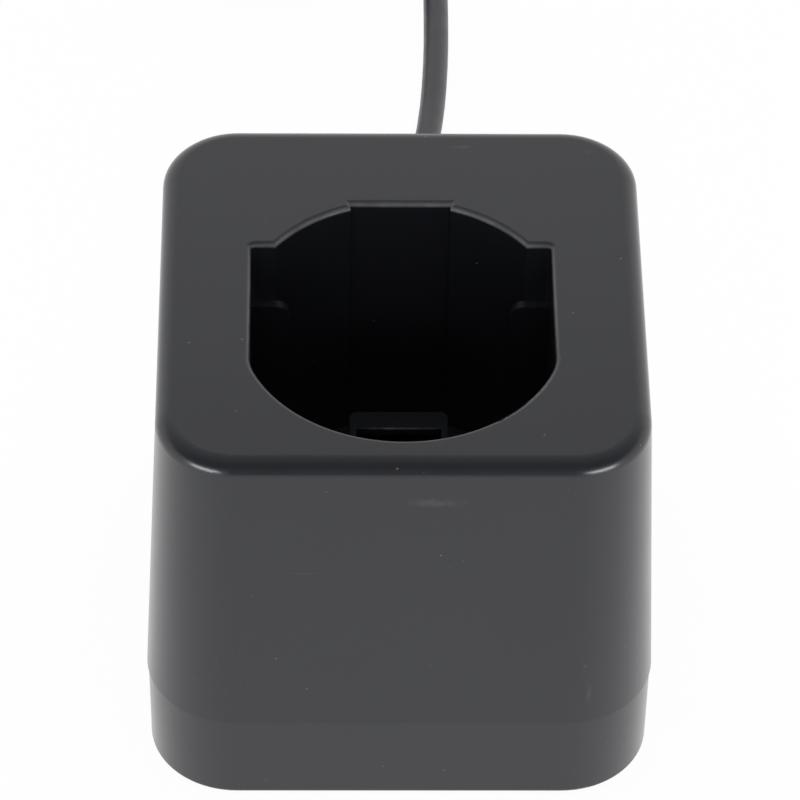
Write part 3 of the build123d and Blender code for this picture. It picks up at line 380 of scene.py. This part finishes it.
def wound(name, tone, centre_mm, wires):
    """Enamelled copper wound side by side round a ring: glossy, with one rounded ridge for each wire, and
    shade painted darker in the groove between wires.
    """
    material, tree, shader, place = blank(name)
    centre = [c * MM for c in centre_mm]
    shift = put(tree, "ShaderNodeVectorMath", {0: place, 1: centre}, operation="SUBTRACT").outputs[0]
    across = put(tree, "ShaderNodeSeparateXYZ", {"Vector": shift}).outputs
    bearing = put(tree, "ShaderNodeMath", {0: across["Y"], 1: across["X"]}, operation="ARCTAN2").outputs[0]
    ridge = put(tree, "ShaderNodeMath", {0: bearing, 1: wires / 2.0}, operation="MULTIPLY").outputs[0]
    wave = put(tree, "ShaderNodeMath", {0: ridge}, operation="SINE").outputs[0]
    height = put(tree, "ShaderNodeMath", {0: wave}, operation="ABSOLUTE").outputs[0]
    # Painted shade: the colour falls to about a third of its tone in the grooves between wires.
    painted_groove_shade = {0: height, 6: rgba(tone, 0.35), 7: rgba(tone)}
    lit = put(tree, "ShaderNodeMix", painted_groove_shade, data_type="RGBA").outputs[2]
    polish = patches(tree, place, 2.0, 0.22, 0.34)
    put(tree, shader, {"Base Color": lit, "Metallic": 0.85, "Roughness": polish})
    bump = put(tree, "ShaderNodeBump", {"Height": height, "Distance": 0.35 * MM})
    put(tree, shader, {"Normal": bump.outputs["Normal"]})
    return material


def taped(name, tone, half_turn_mm=4.5, half_lap_mm=0.9, soft_mm=0.15, wire_mm=0.35):
    """Polyester tape over a winding: glossy film, darker where turns overlap, over faint ridges of wire."""
    material, tree, shader, place = blank(name)
    rise = put(tree, "ShaderNodeSeparateXYZ", {"Vector": place}).outputs["Z"]
    lap = put(tree, "ShaderNodeMath", {0: rise, 1: half_turn_mm * MM}, operation="PINGPONG").outputs[0]
    edge = {"Value": lap, "From Min": half_lap_mm * MM, "From Max": (half_lap_mm + soft_mm) * MM}
    band = put(tree, "ShaderNodeMapRange", edge).outputs["Result"]
    layers = {0: band, 6: rgba(tone, 0.62), 7: rgba(tone)}
    film = put(tree, "ShaderNodeMix", layers, data_type="RGBA").outputs[2]
    put(tree, shader, {"Base Color": film, "Roughness": patches(tree, place, 3.0, 0.2, 0.32)})
    # The Wave node repeats after 2 pi / 20 of its scale, so the ridges are 2 pi times as coarse as the wires.
    waves = {"Vector": place, "Scale": MM_IN_METRE / wire_mm / 20, "Distortion": 0.4}
    ridges = put(tree, "ShaderNodeTexWave", waves, bands_direction="Z")
    bump = put(tree, "ShaderNodeBump", {"Height": ridges.outputs["Fac"], "Distance": 0.02 * MM})
    put(tree, shader, {"Normal": bump.outputs["Normal"]})
    return material


def sleeved_can(name, can_top_mm):
    """Aluminium can in a shrunk PVC sleeve: black gloss with a pale polarity stripe, and a bare dull top."""
    material, tree, shader, place = blank(name)
    facing = put(tree, "ShaderNodeNewGeometry").outputs["Normal"]
    sides = put(tree, "ShaderNodeSeparateXYZ", {"Vector": facing}).outputs
    stripe = put(tree, "ShaderNodeMath", {0: sides["X"], 1: 0.93}, operation="GREATER_THAN").outputs[0]
    upward = put(tree, "ShaderNodeMath", {0: sides["Z"], 1: 0.9}, operation="GREATER_THAN").outputs[0]
    rise = put(tree, "ShaderNodeSeparateXYZ", {"Vector": place}).outputs["Z"]
    rim = (can_top_mm - 0.5) * MM
    high = put(tree, "ShaderNodeMath", {0: rise, 1: rim}, operation="GREATER_THAN").outputs[0]
    top = put(tree, "ShaderNodeMath", {0: upward, 1: high}, operation="MULTIPLY").outputs[0]
    print_and_black = {0: stripe, 6: rgba("#161618"), 7: rgba("#b9b9bd")}
    sleeve = put(tree, "ShaderNodeMix", print_and_black, data_type="RGBA").outputs[2]
    mixed = put(tree, "ShaderNodeMix", {0: top, 6: sleeve, 7: rgba("#c9cacc")}, data_type="RGBA").outputs[2]
    polish = patches(tree, place, 4.0, 0.24, 0.36)
    put(tree, shader, {"Base Color": mixed, "Metallic": top, "Roughness": polish})
    grained(tree, shader, place, 1.2, 0.006)
    return material


def dipped(name, tone, foot_mm=(9.5, 11.5)):
    """Dipped epoxy lacquer: thick glossy skin with a slow orange-peel swell and a darker run at its foot."""
    material, tree, shader, place = blank(name)
    rise = put(tree, "ShaderNodeSeparateXYZ", {"Vector": place}).outputs["Z"]
    run = {"Value": rise, "From Min": foot_mm[0] * MM, "From Max": foot_mm[1] * MM}
    foot = put(tree, "ShaderNodeMapRange", run).outputs["Result"]
    shades = {0: foot, 6: rgba(tone, 0.55), 7: rgba(tone)}
    skin = put(tree, "ShaderNodeMix", shades, data_type="RGBA").outputs[2]
    put(tree, shader, {"Base Color": skin, "Roughness": patches(tree, place, 3.0, 0.18, 0.3)})
    grained(tree, shader, place, 1.5, 0.03)
    return material


def banded_resistor(name, body, middle_y_mm):
    """Lacquered carbon-film resistor: beige gloss with painted bands round it."""
    material, tree, shader, place = blank(name)
    across = put(tree, "ShaderNodeSeparateXYZ", {"Vector": place}).outputs["Y"]
    along = put(tree, "ShaderNodeMath", {0: across, 1: middle_y_mm * MM}, operation="SUBTRACT").outputs[0]
    painted = rgba(body)
    for at, code in ((-1.9, "#7a3b1c"), (-1.0, "#1a1a1c"), (-0.1, "#b5402a"), (1.7, "#c9a13a")):
        sockets = {0: along, 1: at * MM, 2: 0.22 * MM}
        band = put(tree, "ShaderNodeMath", sockets, operation="COMPARE").outputs[0]
        coats = {0: band, 6: painted, 7: rgba(code)}
        painted = put(tree, "ShaderNodeMix", coats, data_type="RGBA").outputs[2]
    put(tree, shader, {"Base Color": painted, "Roughness": patches(tree, place, 1.0, 0.24, 0.36)})
    grained(tree, shader, place, 0.8, 0.008)
    return material


def moulded_epoxy(name, tone):
    """Filled epoxy of chips and diodes: charcoal, matt, with fine pits and pale filler grains."""
    material, tree, shader, place = blank(name)
    even = uneven_tone(tree, place, tone, 2.0, 0.12)
    grit = scattered(tree, place, (0.3, 0.3, 0.3), 0.2, 0.3)
    pale = put(tree, "ShaderNodeMath", {0: grit, 1: 0.1}, operation="MULTIPLY").outputs[0]
    mixed = put(tree, "ShaderNodeMix", {0: pale, 6: even, 7: rgba("#77777a")}, data_type="RGBA").outputs[2]
    put(tree, shader, {"Base Color": mixed, "Roughness": patches(tree, place, 1.0, 0.48, 0.62)})
    grained(tree, shader, place, 0.2, 0.005)
    return material


def sintered(name, tone):
    """Sintered ferrite: dark grey ceramic, ground flat, with pores."""
    material, tree, shader, place = blank(name)
    even = uneven_tone(tree, place, tone, 3.0, 0.15)
    pores = scattered(tree, place, (0.5, 0.5, 0.5), 0.22, 0.4)
    mixed = put(tree, "ShaderNodeMix", {0: pores, 6: even, 7: rgba(tone, 0.3)}, data_type="RGBA").outputs[2]
    put(tree, shader, {"Base Color": mixed, "Roughness": patches(tree, place, 1.5, 0.4, 0.58)})
    grained(tree, shader, place, 0.3, 0.012)
    return material


def clear_glass(name):
    """Drawn glass tube: clear, with the faintest waviness."""
    material, tree, shader, place = blank(name)
    put(tree, shader, {"Base Color": rgba("#f2f6f5"), "Transmission Weight": 1.0})
    put(tree, shader, {"Roughness": patches(tree, place, 4.0, 0.01, 0.05)})
    grained(tree, shader, place, 3.0, 0.004)
    return material


def extruded_pvc(name, tone, roughness=0.4):
    """Extruded PVC: smooth and slightly waxy, with a slow wander in gloss and a few handling scuffs."""
    material, tree, shader, place = blank(name)
    even = uneven_tone(tree, place, tone, 9.0, 0.07)
    scuffs = scattered(tree, place, (9.0, 2.2, 2.2), 0.09, 0.25)
    faint = put(tree, "ShaderNodeMath", {0: scuffs, 1: 0.25}, operation="MULTIPLY").outputs[0]
    mixed = put(tree, "ShaderNodeMix", {0: faint, 6: even, 7: rgba(tone, 3.0)}, data_type="RGBA").outputs[2]
    polish = patches(tree, place, 4.0, roughness - 0.05, roughness + 0.06)
    put(tree, shader, {"Base Color": mixed, "Roughness": polish})
    put(tree, shader, {"Coat Weight": 0.25, "Coat Roughness": 0.34})
    grained(tree, shader, place, 0.6, 0.0015)
    return material


def woven_strap(name, tone, loop_mm=0.7):
    """Woven hook-and-loop strap: matt and fuzzy, with its loops drawn coarser than real so that they show."""
    material, tree, shader, place = blank(name)
    cells = {"Vector": place, "Scale": MM_IN_METRE / loop_mm, "Randomness": 0.55}
    loops = put(tree, "ShaderNodeTexVoronoi", cells)
    fuzz = loops.outputs["Distance"]
    shades = {0: fuzz, 6: rgba(tone, 1.5), 7: rgba(tone, 0.5)}
    shade = put(tree, "ShaderNodeMix", shades, data_type="RGBA").outputs[2]
    put(tree, shader, {"Base Color": shade, "Roughness": patches(tree, place, 2.0, 0.8, 0.95)})
    put(tree, shader, {"Sheen Weight": 0.3, "Sheen Roughness": 0.5})
    bump = put(tree, "ShaderNodeBump", {"Height": fuzz, "Distance": 0.25 * MM})
    put(tree, shader, {"Normal": bump.outputs["Normal"]})
    return material


# ---------------------------------------------------------------- helpers for meshes
def piece_from(bm, name, body=ROOT, smooth=40.0):
    """Object from a bmesh, at the origin, smooth except at edges sharper than the angle."""
    bmesh.ops.remove_doubles(bm, verts=bm.verts, dist=0.00001)
    bmesh.ops.recalc_face_normals(bm, faces=bm.faces)
    mesh = bpy.data.meshes.new(name)
    bm.to_mesh(mesh)
    bm.free()
    piece = bpy.data.objects.new(name, mesh)
    bpy.context.scene.collection.objects.link(piece)
    mesh.shade_smooth()
    mesh.set_sharp_from_angle(angle=math.radians(smooth))
    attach(piece, body)
    return piece


def wind(bm, start, centre, turns, rise, per_turn=28):
    """Sweeps the last profile of a spring round its axis while it rises, and gives back the new end."""
    steps = round(turns * per_turn)
    swept = bmesh.ops.spin(
        bm,
        geom=start,
        cent=centre,
        axis=(0, 0, 1),
        dvec=(0, 0, rise / steps),
        angle=2 * math.pi * turns,
        steps=steps,
        use_merge=False,
        use_normal_flip=False,
        use_duplicate=False,
    )
    return swept["geom_last"]


# ---------------------------------------------------------------- operators
class CHARGER_OT_case(bpy.types.Operator):
    """Finish the housing, the base cover, the feet and the screws that join them"""

    bl_idname = "charger.case"
    bl_label = "Case"

    def execute(self, context):
        settings = context.scene.charger_shell
        case = satin_black_abs("satin_black_abs", settings.case, settings.dust_and_highlight, settings.grain / MM)
        finish("upper_housing", case)
        finish("base_cover", case)
        finish("rubber_feet", moulded("moulded_rubber", settings.feet, 0.72, 0.4, 0.012))
        finish("housing_screws", plated("zinc_plated_steel", "#b9bcbf", 0.3, 0.5))
        return {"FINISHED"}


class CHARGER_OT_contacts(bpy.types.Operator):
    """Finish the contact carrier and its screws, the studs and their pads"""

    bl_idname = "charger.contacts"
    bl_label = "Contacts"

    def execute(self, context):
        settings = context.scene.charger_contacts
        finish("contact_carrier", glass_filled_nylon("glass_filled_nylon", settings.carrier))
        brass = plated("turned_brass", settings.stud, 0.24, 0.6, (1.0, 1.0, 6.0))
        for name in ("positive", "sense", "negative"):
            finish(f"contact_stud_{name}", brass)
        finish("contact_pads", plated("tinned_copper", "#cfcdc6", 0.34, 0.4))
        finish("carrier_screws", plated("zinc_plated_small_screws", "#b9bcbf", 0.32, 0.4))
        return {"FINISHED"}


class CHARGER_OT_springs(bpy.types.Operator):
    """Wind the three contact springs, with their ends closed"""

    bl_idname = "charger.springs"
    bl_label = "Contact springs"

    def execute(self, context):
        settings = context.scene.charger_contacts
        steel = plated("drawn_spring_steel", settings.spring, 0.3, 0.3)
        wire = settings.wire / 2
        low = SPRING_BOTTOM * MM + wire
        rise = (SPRING_TOP - SPRING_BOTTOM) * MM - settings.wire
        closed = settings.wire * CLOSED_PITCH
        for name, x in (("positive", -STUD_SPACING), ("sense", 0.0), ("negative", STUD_SPACING)):
            centre = Vector((x, STUD_AXIS_Y, 0.0)) * MM
            first = centre + Vector((settings.coil / 2, 0.0, low))
            turn = Matrix.Translation(first) @ Matrix.Rotation(math.pi / 2, 4, "X")
            bm = bmesh.new()
            bmesh.ops.create_circle(bm, cap_ends=True, segments=12, radius=wire, matrix=turn)
            end = wind(bm, bm.verts[:] + bm.edges[:] + bm.faces[:], centre, 1.0, closed)
            end = wind(bm, end, centre, settings.turns - 2.0, rise - 2 * closed)
            wind(bm, end, centre, 1.0, closed)
            spring = piece_from(bm, f"wound_spring_{name}", smooth=60.0)
            finish(spring, steel)
            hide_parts(f"contact_spring_{name}")
            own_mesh(spring)
        return {"FINISHED"}


class CHARGER_OT_wiring(bpy.types.Operator):
    """Finish the leads inside the case, and the socket and the terminal that they end in"""

    bl_idname = "charger.wiring"
    bl_label = "Wiring"

    def execute(self, context):
        tones = {
            "positive_lead": "#b3221d",
            "sense_lead": "#d9d8d2",
            "negative_lead": "#1a1a1b",
            "live_conductor": "#5c3520",
            "neutral_conductor": "#2456a4",
        }
        for name, tone in tones.items():
            finish(name, extruded_pvc(f"extruded_pvc_{name}", tone, 0.34))
        finish("lead_socket", moulded("moulded_natural_nylon", "#d8d5c6", 0.45, 0.3, 0.004))
        finish("mains_terminal", moulded("moulded_green_nylon", "#2c7a48", 0.4, 0.3, 0.004))
        finish("terminal_screws", plated("nickel_plated_screws", "#c6c3bb", 0.28, 0.3))
        return {"FINISHED"}


class CHARGER_OT_boards(bpy.types.Operator):
    """Finish the two circuit boards and the parts on the mains side"""

    bl_idname = "charger.boards"
    bl_label = "Boards"

    def execute(self, context):
        settings = context.scene.charger_boards
        laminate = masked_laminate("glass_epoxy_laminate", settings.mask)
        finish("main_board", laminate)
        finish("contact_board", laminate)
        finish("board_screws", plated("zinc_plated_board_screws", "#b9bcbf", 0.32, 0.4))
        finish("fuse_glass", clear_glass("drawn_glass"))
        nickel = plated("nickel_plated_brass", "#c9c6bd", 0.24, 0.4)
        finish("fuse_caps", nickel)
        finish("fuse_clips", nickel)
        finish("varistor", dipped("dipped_lacquer", settings.lacquer))
        finish("barrier_capacitor", dipped("dipped_ceramic_disc", "#3f74ad"))
        finish("suppression_capacitor", moulded("moulded_film_box", "#c9a53a", 0.42, 0.5, 0.005))
        finish("choke_core", sintered("sintered_ferrite_ring", "#3c3c3f"))
        copper = wound("enamelled_copper", settings.copper, middle_of("choke_core"), WIRES_ON_CHOKE)
        finish("choke_windings", copper)
        return {"FINISHED"}


class CHARGER_OT_converter(bpy.types.Operator):
    """Finish the transformer, the capacitors, the cooled transistor and the small parts"""

    bl_idname = "charger.converter"
    bl_label = "Converter"

    def execute(self, context):
        settings = context.scene.charger_boards
        finish("transformer_core", sintered("sintered_ferrite_core", "#39393b"))
        finish("transformer_bobbin", moulded("moulded_phenolic", "#1c1b1b", 0.5, 0.4, 0.005))
        finish("transformer_winding", taped("polyester_tape", settings.tape))
        finish("bulk_capacitor", sleeved_can("sleeved_aluminium_can", top_of("bulk_capacitor")))
        finish("output_capacitors", sleeved_can("sleeved_small_cans", top_of("output_capacitors")))
        finish("heat_sink", plated("rolled_aluminium", "#d2d4d6", 0.36, 0.5, (1.0, 8.0, 1.0)))
        finish("heat_sink_screw", plated("zinc_plated_sink_screw", "#b9bcbf", 0.3, 0.4))
        epoxy = moulded_epoxy("moulded_epoxy", "#232325")
        for name in ("rectifier_diodes", "power_transistor", "control_chip", "optocoupler", "output_diode"):
            finish(name, epoxy)
        across = middle_of("board_resistors")[1]
        finish("board_resistors", banded_resistor("lacquered_resistor", "#c9ac80", across))
        return {"FINISHED"}


class CHARGER_OT_lead(bpy.types.Operator):
    """Lay the mains lead from the rear wall through its coil to the plug, and finish its clamp and strap"""

    bl_idname = "charger.lead"
    bl_label = "Mains lead"

    def execute(self, context):
        settings = context.scene.charger_lead
        points = [Vector(point) for point in LEAD_ROUTE]
        points += coil_points(settings)
        points += [Vector(point) for point in TAIL_ROUTE]
        curve = bpy.data.curves.new("mains_lead", "CURVE")
        curve.dimensions = "3D"
        curve.bevel_depth = settings.diameter / 2
        curve.bevel_resolution = 6
        curve.resolution_u = 4
        curve.use_fill_caps = True
        spline = curve.splines.new("NURBS")
        spline.points.add(len(points) - 1)
        for target, point in zip(spline.points, points):
            target.co = (*(point * MM), 1.0)
        spline.order_u = 3
        spline.use_endpoint_u = True
        lead = bpy.data.objects.new("mains_lead", curve)
        context.scene.collection.objects.link(lead)
        sheath = extruded_pvc("extruded_pvc_sheath", settings.sheath)
        finish(lead, sheath)
        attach(lead, ROOT)
        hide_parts("power_cord", "cord_coil", "cord_tail")
        finish("cord_inner_end", sheath)
        finish("strain_relief", moulded("moulded_pvc_relief", settings.plug, 0.5, 0.4, 0.006))
        finish("cord_clamp_bar", glass_filled_nylon("glass_filled_clamp", "#161617"))
        finish("cord_clamp_screws", plated("zinc_plated_clamp_screws", "#b9bcbf", 0.32, 0.4))
        coil_strap(settings)
        return {"FINISHED"}


def coil_points(settings, per_turn=16, step_share=0.25):
    """Control points of the coil: inwards along the table, then outwards on top."""
    # The curve runs inside its control points, so they lie a little further out.
    grow = 1 / math.cos(math.pi / per_turn)
    pitch = settings.diameter / MM
    points = []
    turns = settings.turns
    for layer, level in enumerate(COIL_LEVELS):
        for turn in range(turns):
            here = turn if layer == 0 else turns - 1 - turn
            last = turn == turns - 1
            after = here if last else here + (1 if layer == 0 else -1)
            for step in range(per_turn):
                share = step / per_turn
                shift = max(0.0, (share - 1 + step_share) / step_share)
                radius = COIL_OUTER_TURN - pitch * (here + (after - here) * shift)
                height = level
                if last and layer == 0:
                    height += (COIL_LEVELS[1] - level) * shift
                angle = 2 * math.pi * share
                x = COIL_CENTRE[0] + grow * radius * math.cos(angle)
                y = COIL_CENTRE[1] + grow * radius * math.sin(angle)
                points.append(Vector((x, y, height)))
    points.append(Vector((COIL_CENTRE[0] + grow * COIL_OUTER_TURN, COIL_CENTRE[1], COIL_LEVELS[1])))
    return points


def coil_strap(
    settings, bearing=200.0, thick=0.6, gap=0.25, corner=2.6, free_end=13.0, end_shift=1.5, tip_corner=1.6
):
    """Strap round all the turns of the coil, closed on itself, with its free end lying along the top."""
    reach = settings.turns * settings.diameter / MM + 2 * (gap + thick)
    high = COIL_TOP + gap + thick
    size = Matrix.Diagonal((reach * MM, settings.strap_width, high * MM, 1.0))
    bm = bmesh.new()
    bmesh.ops.create_cube(bm, size=1.0, matrix=Matrix.Translation((0, 0, high / 2 * MM)) @ size)
    corners = [edge for edge in bm.edges if abs((edge.verts[0].co - edge.verts[1].co).normalized().y) > 0.9]
    bmesh.ops.bevel(
        bm, geom=corners, offset=corner * MM, segments=6, profile=0.5, material=-1, affect="EDGES"
    )
    ends = [face for face in bm.faces if abs(face.normal.y) > 0.9]
    bmesh.ops.delete(bm, geom=ends, context="FACES_ONLY")
    bmesh.ops.solidify(bm, geom=bm.faces[:], thickness=thick * MM)
    tail = Matrix.Diagonal((free_end * MM, settings.strap_width, thick * MM, 1.0))
    lift = Matrix.Translation(Vector((end_shift, 0.0, high + thick / 2)) * MM)
    made = bmesh.ops.create_cube(bm, size=1.0, matrix=lift @ tail)
    tip = [edge for edge in bm.edges if edge.verts[0] in made["verts"] and edge.verts[1] in made["verts"]]
    upright = [edge for edge in tip if abs((edge.verts[0].co - edge.verts[1].co).normalized().z) > 0.9]
    bmesh.ops.bevel(
        bm, geom=upright, offset=tip_corner * MM, segments=4, profile=0.5, material=-1, affect="EDGES"
    )
    around = math.radians(bearing)
    turn = Matrix.Rotation(around, 4, "Z")
    outward = turn @ Vector((COIL_MIDDLE, 0.0, 0.0))
    middle = (Vector((*COIL_CENTRE, 0.0)) + outward) * MM
    bmesh.ops.transform(bm, matrix=Matrix.Translation(middle) @ turn, verts=bm.verts)
    strap = piece_from(bm, "coil_strap", smooth=35.0)
    finish(strap, woven_strap("hook_and_loop_weave", settings.strap))
    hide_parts("coil_tie")
    return strap


class CHARGER_OT_plug(bpy.types.Operator):
    """Finish the plug, its pins and their sleeves"""

    bl_idname = "charger.plug"
    bl_label = "Plug"

    def execute(self, context):
        settings = context.scene.charger_lead
        finish("plug_body", moulded("moulded_pvc_plug", settings.plug, 0.46, 0.5, 0.008))
        finish("plug_pins", plated("nickel_plated_pins", "#cbc8c0", 0.22, 0.5))
        finish("pin_sleeves", moulded("moulded_pin_sleeves", "#161617", 0.44, 0.3, 0.003))
        return {"FINISHED"}


class CHARGER_OT_stage(bpy.types.Operator):
    """Set up the floor, the white surroundings, the dark cards, the lamps and the camera"""

    bl_idname = "charger.stage"
    bl_label = "Stage"

    def execute(self, context):
        settings = context.scene.charger_stage
        make_floor(context.scene, settings.floor)
        make_world(context.scene)
        make_cards(context.scene)
        make_lamps(context.scene, settings)
        make_camera(context.scene, settings.focal_length)
        context.scene.view_settings.view_transform = "Standard"
        return {"FINISHED"}


def seen_directly(tree):
    """One for camera, glossy and transmitted rays, else nothing."""
    rays = put(tree, "ShaderNodeLightPath").outputs
    either = {0: rays["Is Camera Ray"], 1: rays["Is Glossy Ray"]}
    first = put(tree, "ShaderNodeMath", either, operation="MAXIMUM")
    both = {0: first.outputs[0], 1: rays["Is Transmission Ray"]}
    return put(tree, "ShaderNodeMath", both, operation="MAXIMUM").outputs[0]


def studio_piece(scene, name, bm):
    """Piece of the studio, kept apart from the charger's bodies, with an empty material."""
    mesh = bpy.data.meshes.new(name)
    bm.to_mesh(mesh)
    bm.free()
    piece = bpy.data.objects.new(name, mesh)
    scene.collection.objects.link(piece)
    material = bpy.data.materials.new(name)
    material.use_nodes = True
    material.node_tree.nodes.clear()
    mesh.materials.append(material)
    return piece, material.node_tree


def make_floor(scene, tone, half_width=4.0, glow_share=0.96):
    """Pale floor under the charger, which shows white and keeps a soft shadow."""
    bm = bmesh.new()
    bmesh.ops.create_grid(bm, x_segments=1, y_segments=1, size=half_width)
    _, tree = studio_piece(scene, "floor", bm)
    matt = put(tree, "ShaderNodeBsdfDiffuse", {"Color": rgba(tone)}).outputs[0]
    glow = put(tree, "ShaderNodeEmission", {"Color": (1, 1, 1, 1), "Strength": 1.0}).outputs[0]
    shown = {0: seen_directly(tree), 1: glow_share}
    share = put(tree, "ShaderNodeMath", shown, operation="MULTIPLY").outputs[0]
    lit = put(tree, "ShaderNodeMixShader", {0: share, 1: matt, 2: glow}).outputs[0]
    behind = put(tree, "ShaderNodeNewGeometry").outputs["Backfacing"]
    open_below = put(tree, "ShaderNodeBsdfTransparent").outputs[0]
    either = put(tree, "ShaderNodeMixShader", {0: behind, 1: lit, 2: open_below}).outputs[0]
    put(tree, "ShaderNodeOutputMaterial", {"Surface": either})


# Sheets that only reflections see, in metres. The one above is given by y and z at its front and rear edges.
CARD_FRONT = (-2.4, 0.2)
CARD_REAR = (1.0, 0.91)
CARD_START = 0.33
CARD_LENGTH = 1.4
CARD_LIFT = 0.002
UPRIGHT_MIDDLE = 0.2
# Their light fades from the first strength to the second between these two places along y.
CARD_FADE = (-0.45, 1.0)
CARD_LIGHT = (0.17, 0.8)


def make_cards(scene):
    """Dark cards above, ahead on the floor and upright behind that, for the dark bands in rounded edges."""
    across = CARD_REAR[0] - CARD_FRONT[0]
    climb = CARD_REAR[1] - CARD_FRONT[1]
    above = (CARD_FRONT[0] + across / 2, CARD_FRONT[1] + climb / 2)
    far = -CARD_START - CARD_LENGTH
    plans = [
        ("card_above", above, math.atan2(climb, across), math.hypot(across, climb)),
        ("card_ahead", (far + CARD_LENGTH / 2, CARD_LIFT), 0.0, CARD_LENGTH),
        ("card_upright", (far, UPRIGHT_MIDDLE), math.radians(90), CARD_LENGTH),
    ]
    for name, middle, tilt, size in plans:
        bm = bmesh.new()
        stand = Matrix.Translation((0.0, *middle)) @ Matrix.Rotation(tilt, 4, "X")
        bmesh.ops.create_grid(bm, x_segments=1, y_segments=1, size=size / 2, matrix=stand)
        card, tree = studio_piece(scene, name, bm)
        place = put(tree, "ShaderNodeTexCoord").outputs["Object"]
        depth = put(tree, "ShaderNodeSeparateXYZ", {"Vector": place}).outputs["Y"]
        fade = {
            "Value": depth,
            "From Min": CARD_FADE[0],
            "From Max": CARD_FADE[1],
            "To Min": CARD_LIGHT[0],
            "To Max": CARD_LIGHT[1],
        }
        light = put(tree, "ShaderNodeMapRange", fade).outputs["Result"]
        glow = put(tree, "ShaderNodeEmission", {"Color": (1, 1, 1, 1), "Strength": light}).outputs[0]
        put(tree, "ShaderNodeOutputMaterial", {"Surface": glow})
        card.visible_camera = False
        card.visible_diffuse = False
        card.visible_transmission = False
        card.visible_shadow = False


def make_world(scene, soft_light=0.5):
    """White surroundings for the eye and for reflections, and even soft light for the rest."""
    world = bpy.data.worlds.new("studio")
    world.use_nodes = True
    tree = world.node_tree
    tree.nodes.clear()
    soft = put(tree, "ShaderNodeBackground", {"Color": (1, 1, 1, 1), "Strength": soft_light}).outputs[0]
    white = put(tree, "ShaderNodeBackground", {"Color": (1, 1, 1, 1), "Strength": 1.0}).outputs[0]
    mixed = put(tree, "ShaderNodeMixShader", {0: seen_directly(tree), 1: soft, 2: white}).outputs[0]
    put(tree, "ShaderNodeOutputWorld", {"Surface": mixed})
    scene.world = world


def make_lamps(scene, settings):
    """Two large soft lamps, kept out of reflections, and a low bright strip at each side for reflections."""
    aim = Vector((0.0, 0.0, 0.05))
    plans = [
        ("overhead", (0.0, 0.15, 1.3), (1.2, 1.2), settings.key_power, False),
        ("front", (0.0, -1.2, 0.4), (0.8, 0.8), settings.front_power, False),
        ("left", (-0.35, -0.46, 0.067), (0.34, 0.125), settings.side_power, True),
        ("right", (0.35, -0.46, 0.067), (0.34, 0.125), settings.side_power, True),
    ]
    for name, place, (wide, high), watts, mirrored in plans:
        light = bpy.data.lights.new(name, "AREA")
        light.shape = "RECTANGLE"
        light.size = wide
        light.size_y = high
        light.energy = watts
        lamp = bpy.data.objects.new(name, light)
        lamp.location = place
        lamp.rotation_euler = (aim - Vector(place)).to_track_quat("-Z", "Y").to_euler()
        lamp.visible_glossy = mirrored
        lamp.visible_diffuse = not mirrored
        scene.collection.objects.link(lamp)


# The camera's place in metres and its turn.
CAMERA_PLACE = Vector((-0.01612, -0.726715, 0.76176))
CAMERA_YAW = math.radians(1.27)
CAMERA_PITCH = math.radians(43.99)
CAMERA_ROLL = math.radians(-0.98)


def make_camera(scene, focal_length):
    """Camera above the front, looking down on the well."""
    data = bpy.data.cameras.new("camera")
    data.lens = focal_length
    data.sensor_width = 36.0
    data.clip_start = 0.01
    data.clip_end = 50.0
    forward = Vector(
        (
            math.sin(CAMERA_YAW) * math.cos(CAMERA_PITCH),
            math.cos(CAMERA_YAW) * math.cos(CAMERA_PITCH),
            -math.sin(CAMERA_PITCH),
        )
    )
    right = Vector((math.cos(CAMERA_YAW), -math.sin(CAMERA_YAW), 0.0))
    down = forward.cross(right)
    across = math.cos(CAMERA_ROLL) * right + math.sin(CAMERA_ROLL) * down
    below = math.cos(CAMERA_ROLL) * down - math.sin(CAMERA_ROLL) * right
    camera = bpy.data.objects.new("camera", data)
    turn = Matrix((across, -below, -forward)).transposed()
    camera.matrix_world = Matrix.Translation(CAMERA_PLACE) @ turn.to_4x4()
    scene.collection.objects.link(camera)
    scene.camera = camera


class CHARGER_PT_panel(bpy.types.Panel):
    """Lists the charger's operators"""

    bl_idname = "CHARGER_PT_panel"
    bl_label = "Battery charger"
    bl_space_type = "VIEW_3D"
    bl_region_type = "UI"
    bl_category = "Charger"

    def draw(self, context):
        for operator in OPERATORS:
            self.layout.operator(operator.bl_idname)


SETTINGS = {
    "charger_shell": ShellSettings,
    "charger_contacts": ContactSettings,
    "charger_boards": BoardSettings,
    "charger_lead": LeadSettings,
    "charger_stage": StageSettings,
}
OPERATORS = (
    CHARGER_OT_case,
    CHARGER_OT_contacts,
    CHARGER_OT_springs,
    CHARGER_OT_wiring,
    CHARGER_OT_boards,
    CHARGER_OT_converter,
    CHARGER_OT_lead,
    CHARGER_OT_plug,
    CHARGER_OT_stage,
)


def register():
    """Registers the settings, operators and panel."""
    for name, group in SETTINGS.items():
        bpy.utils.register_class(group)
        setattr(bpy.types.Scene, name, PointerProperty(type=group))
    for item in (*OPERATORS, CHARGER_PT_panel):
        bpy.utils.register_class(item)


def unregister():
    """Takes them out again."""
    for item in (CHARGER_PT_panel, *reversed(OPERATORS)):
        bpy.utils.unregister_class(item)
    for name, group in SETTINGS.items():
        delattr(bpy.types.Scene, name)
        bpy.utils.unregister_class(group)


def main():
    """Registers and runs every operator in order."""
    register()
    for operator in OPERATORS:
        space, name = operator.bl_idname.split(".")
        getattr(getattr(bpy.ops, space), name)()


if __name__ == "__main__":
    main()
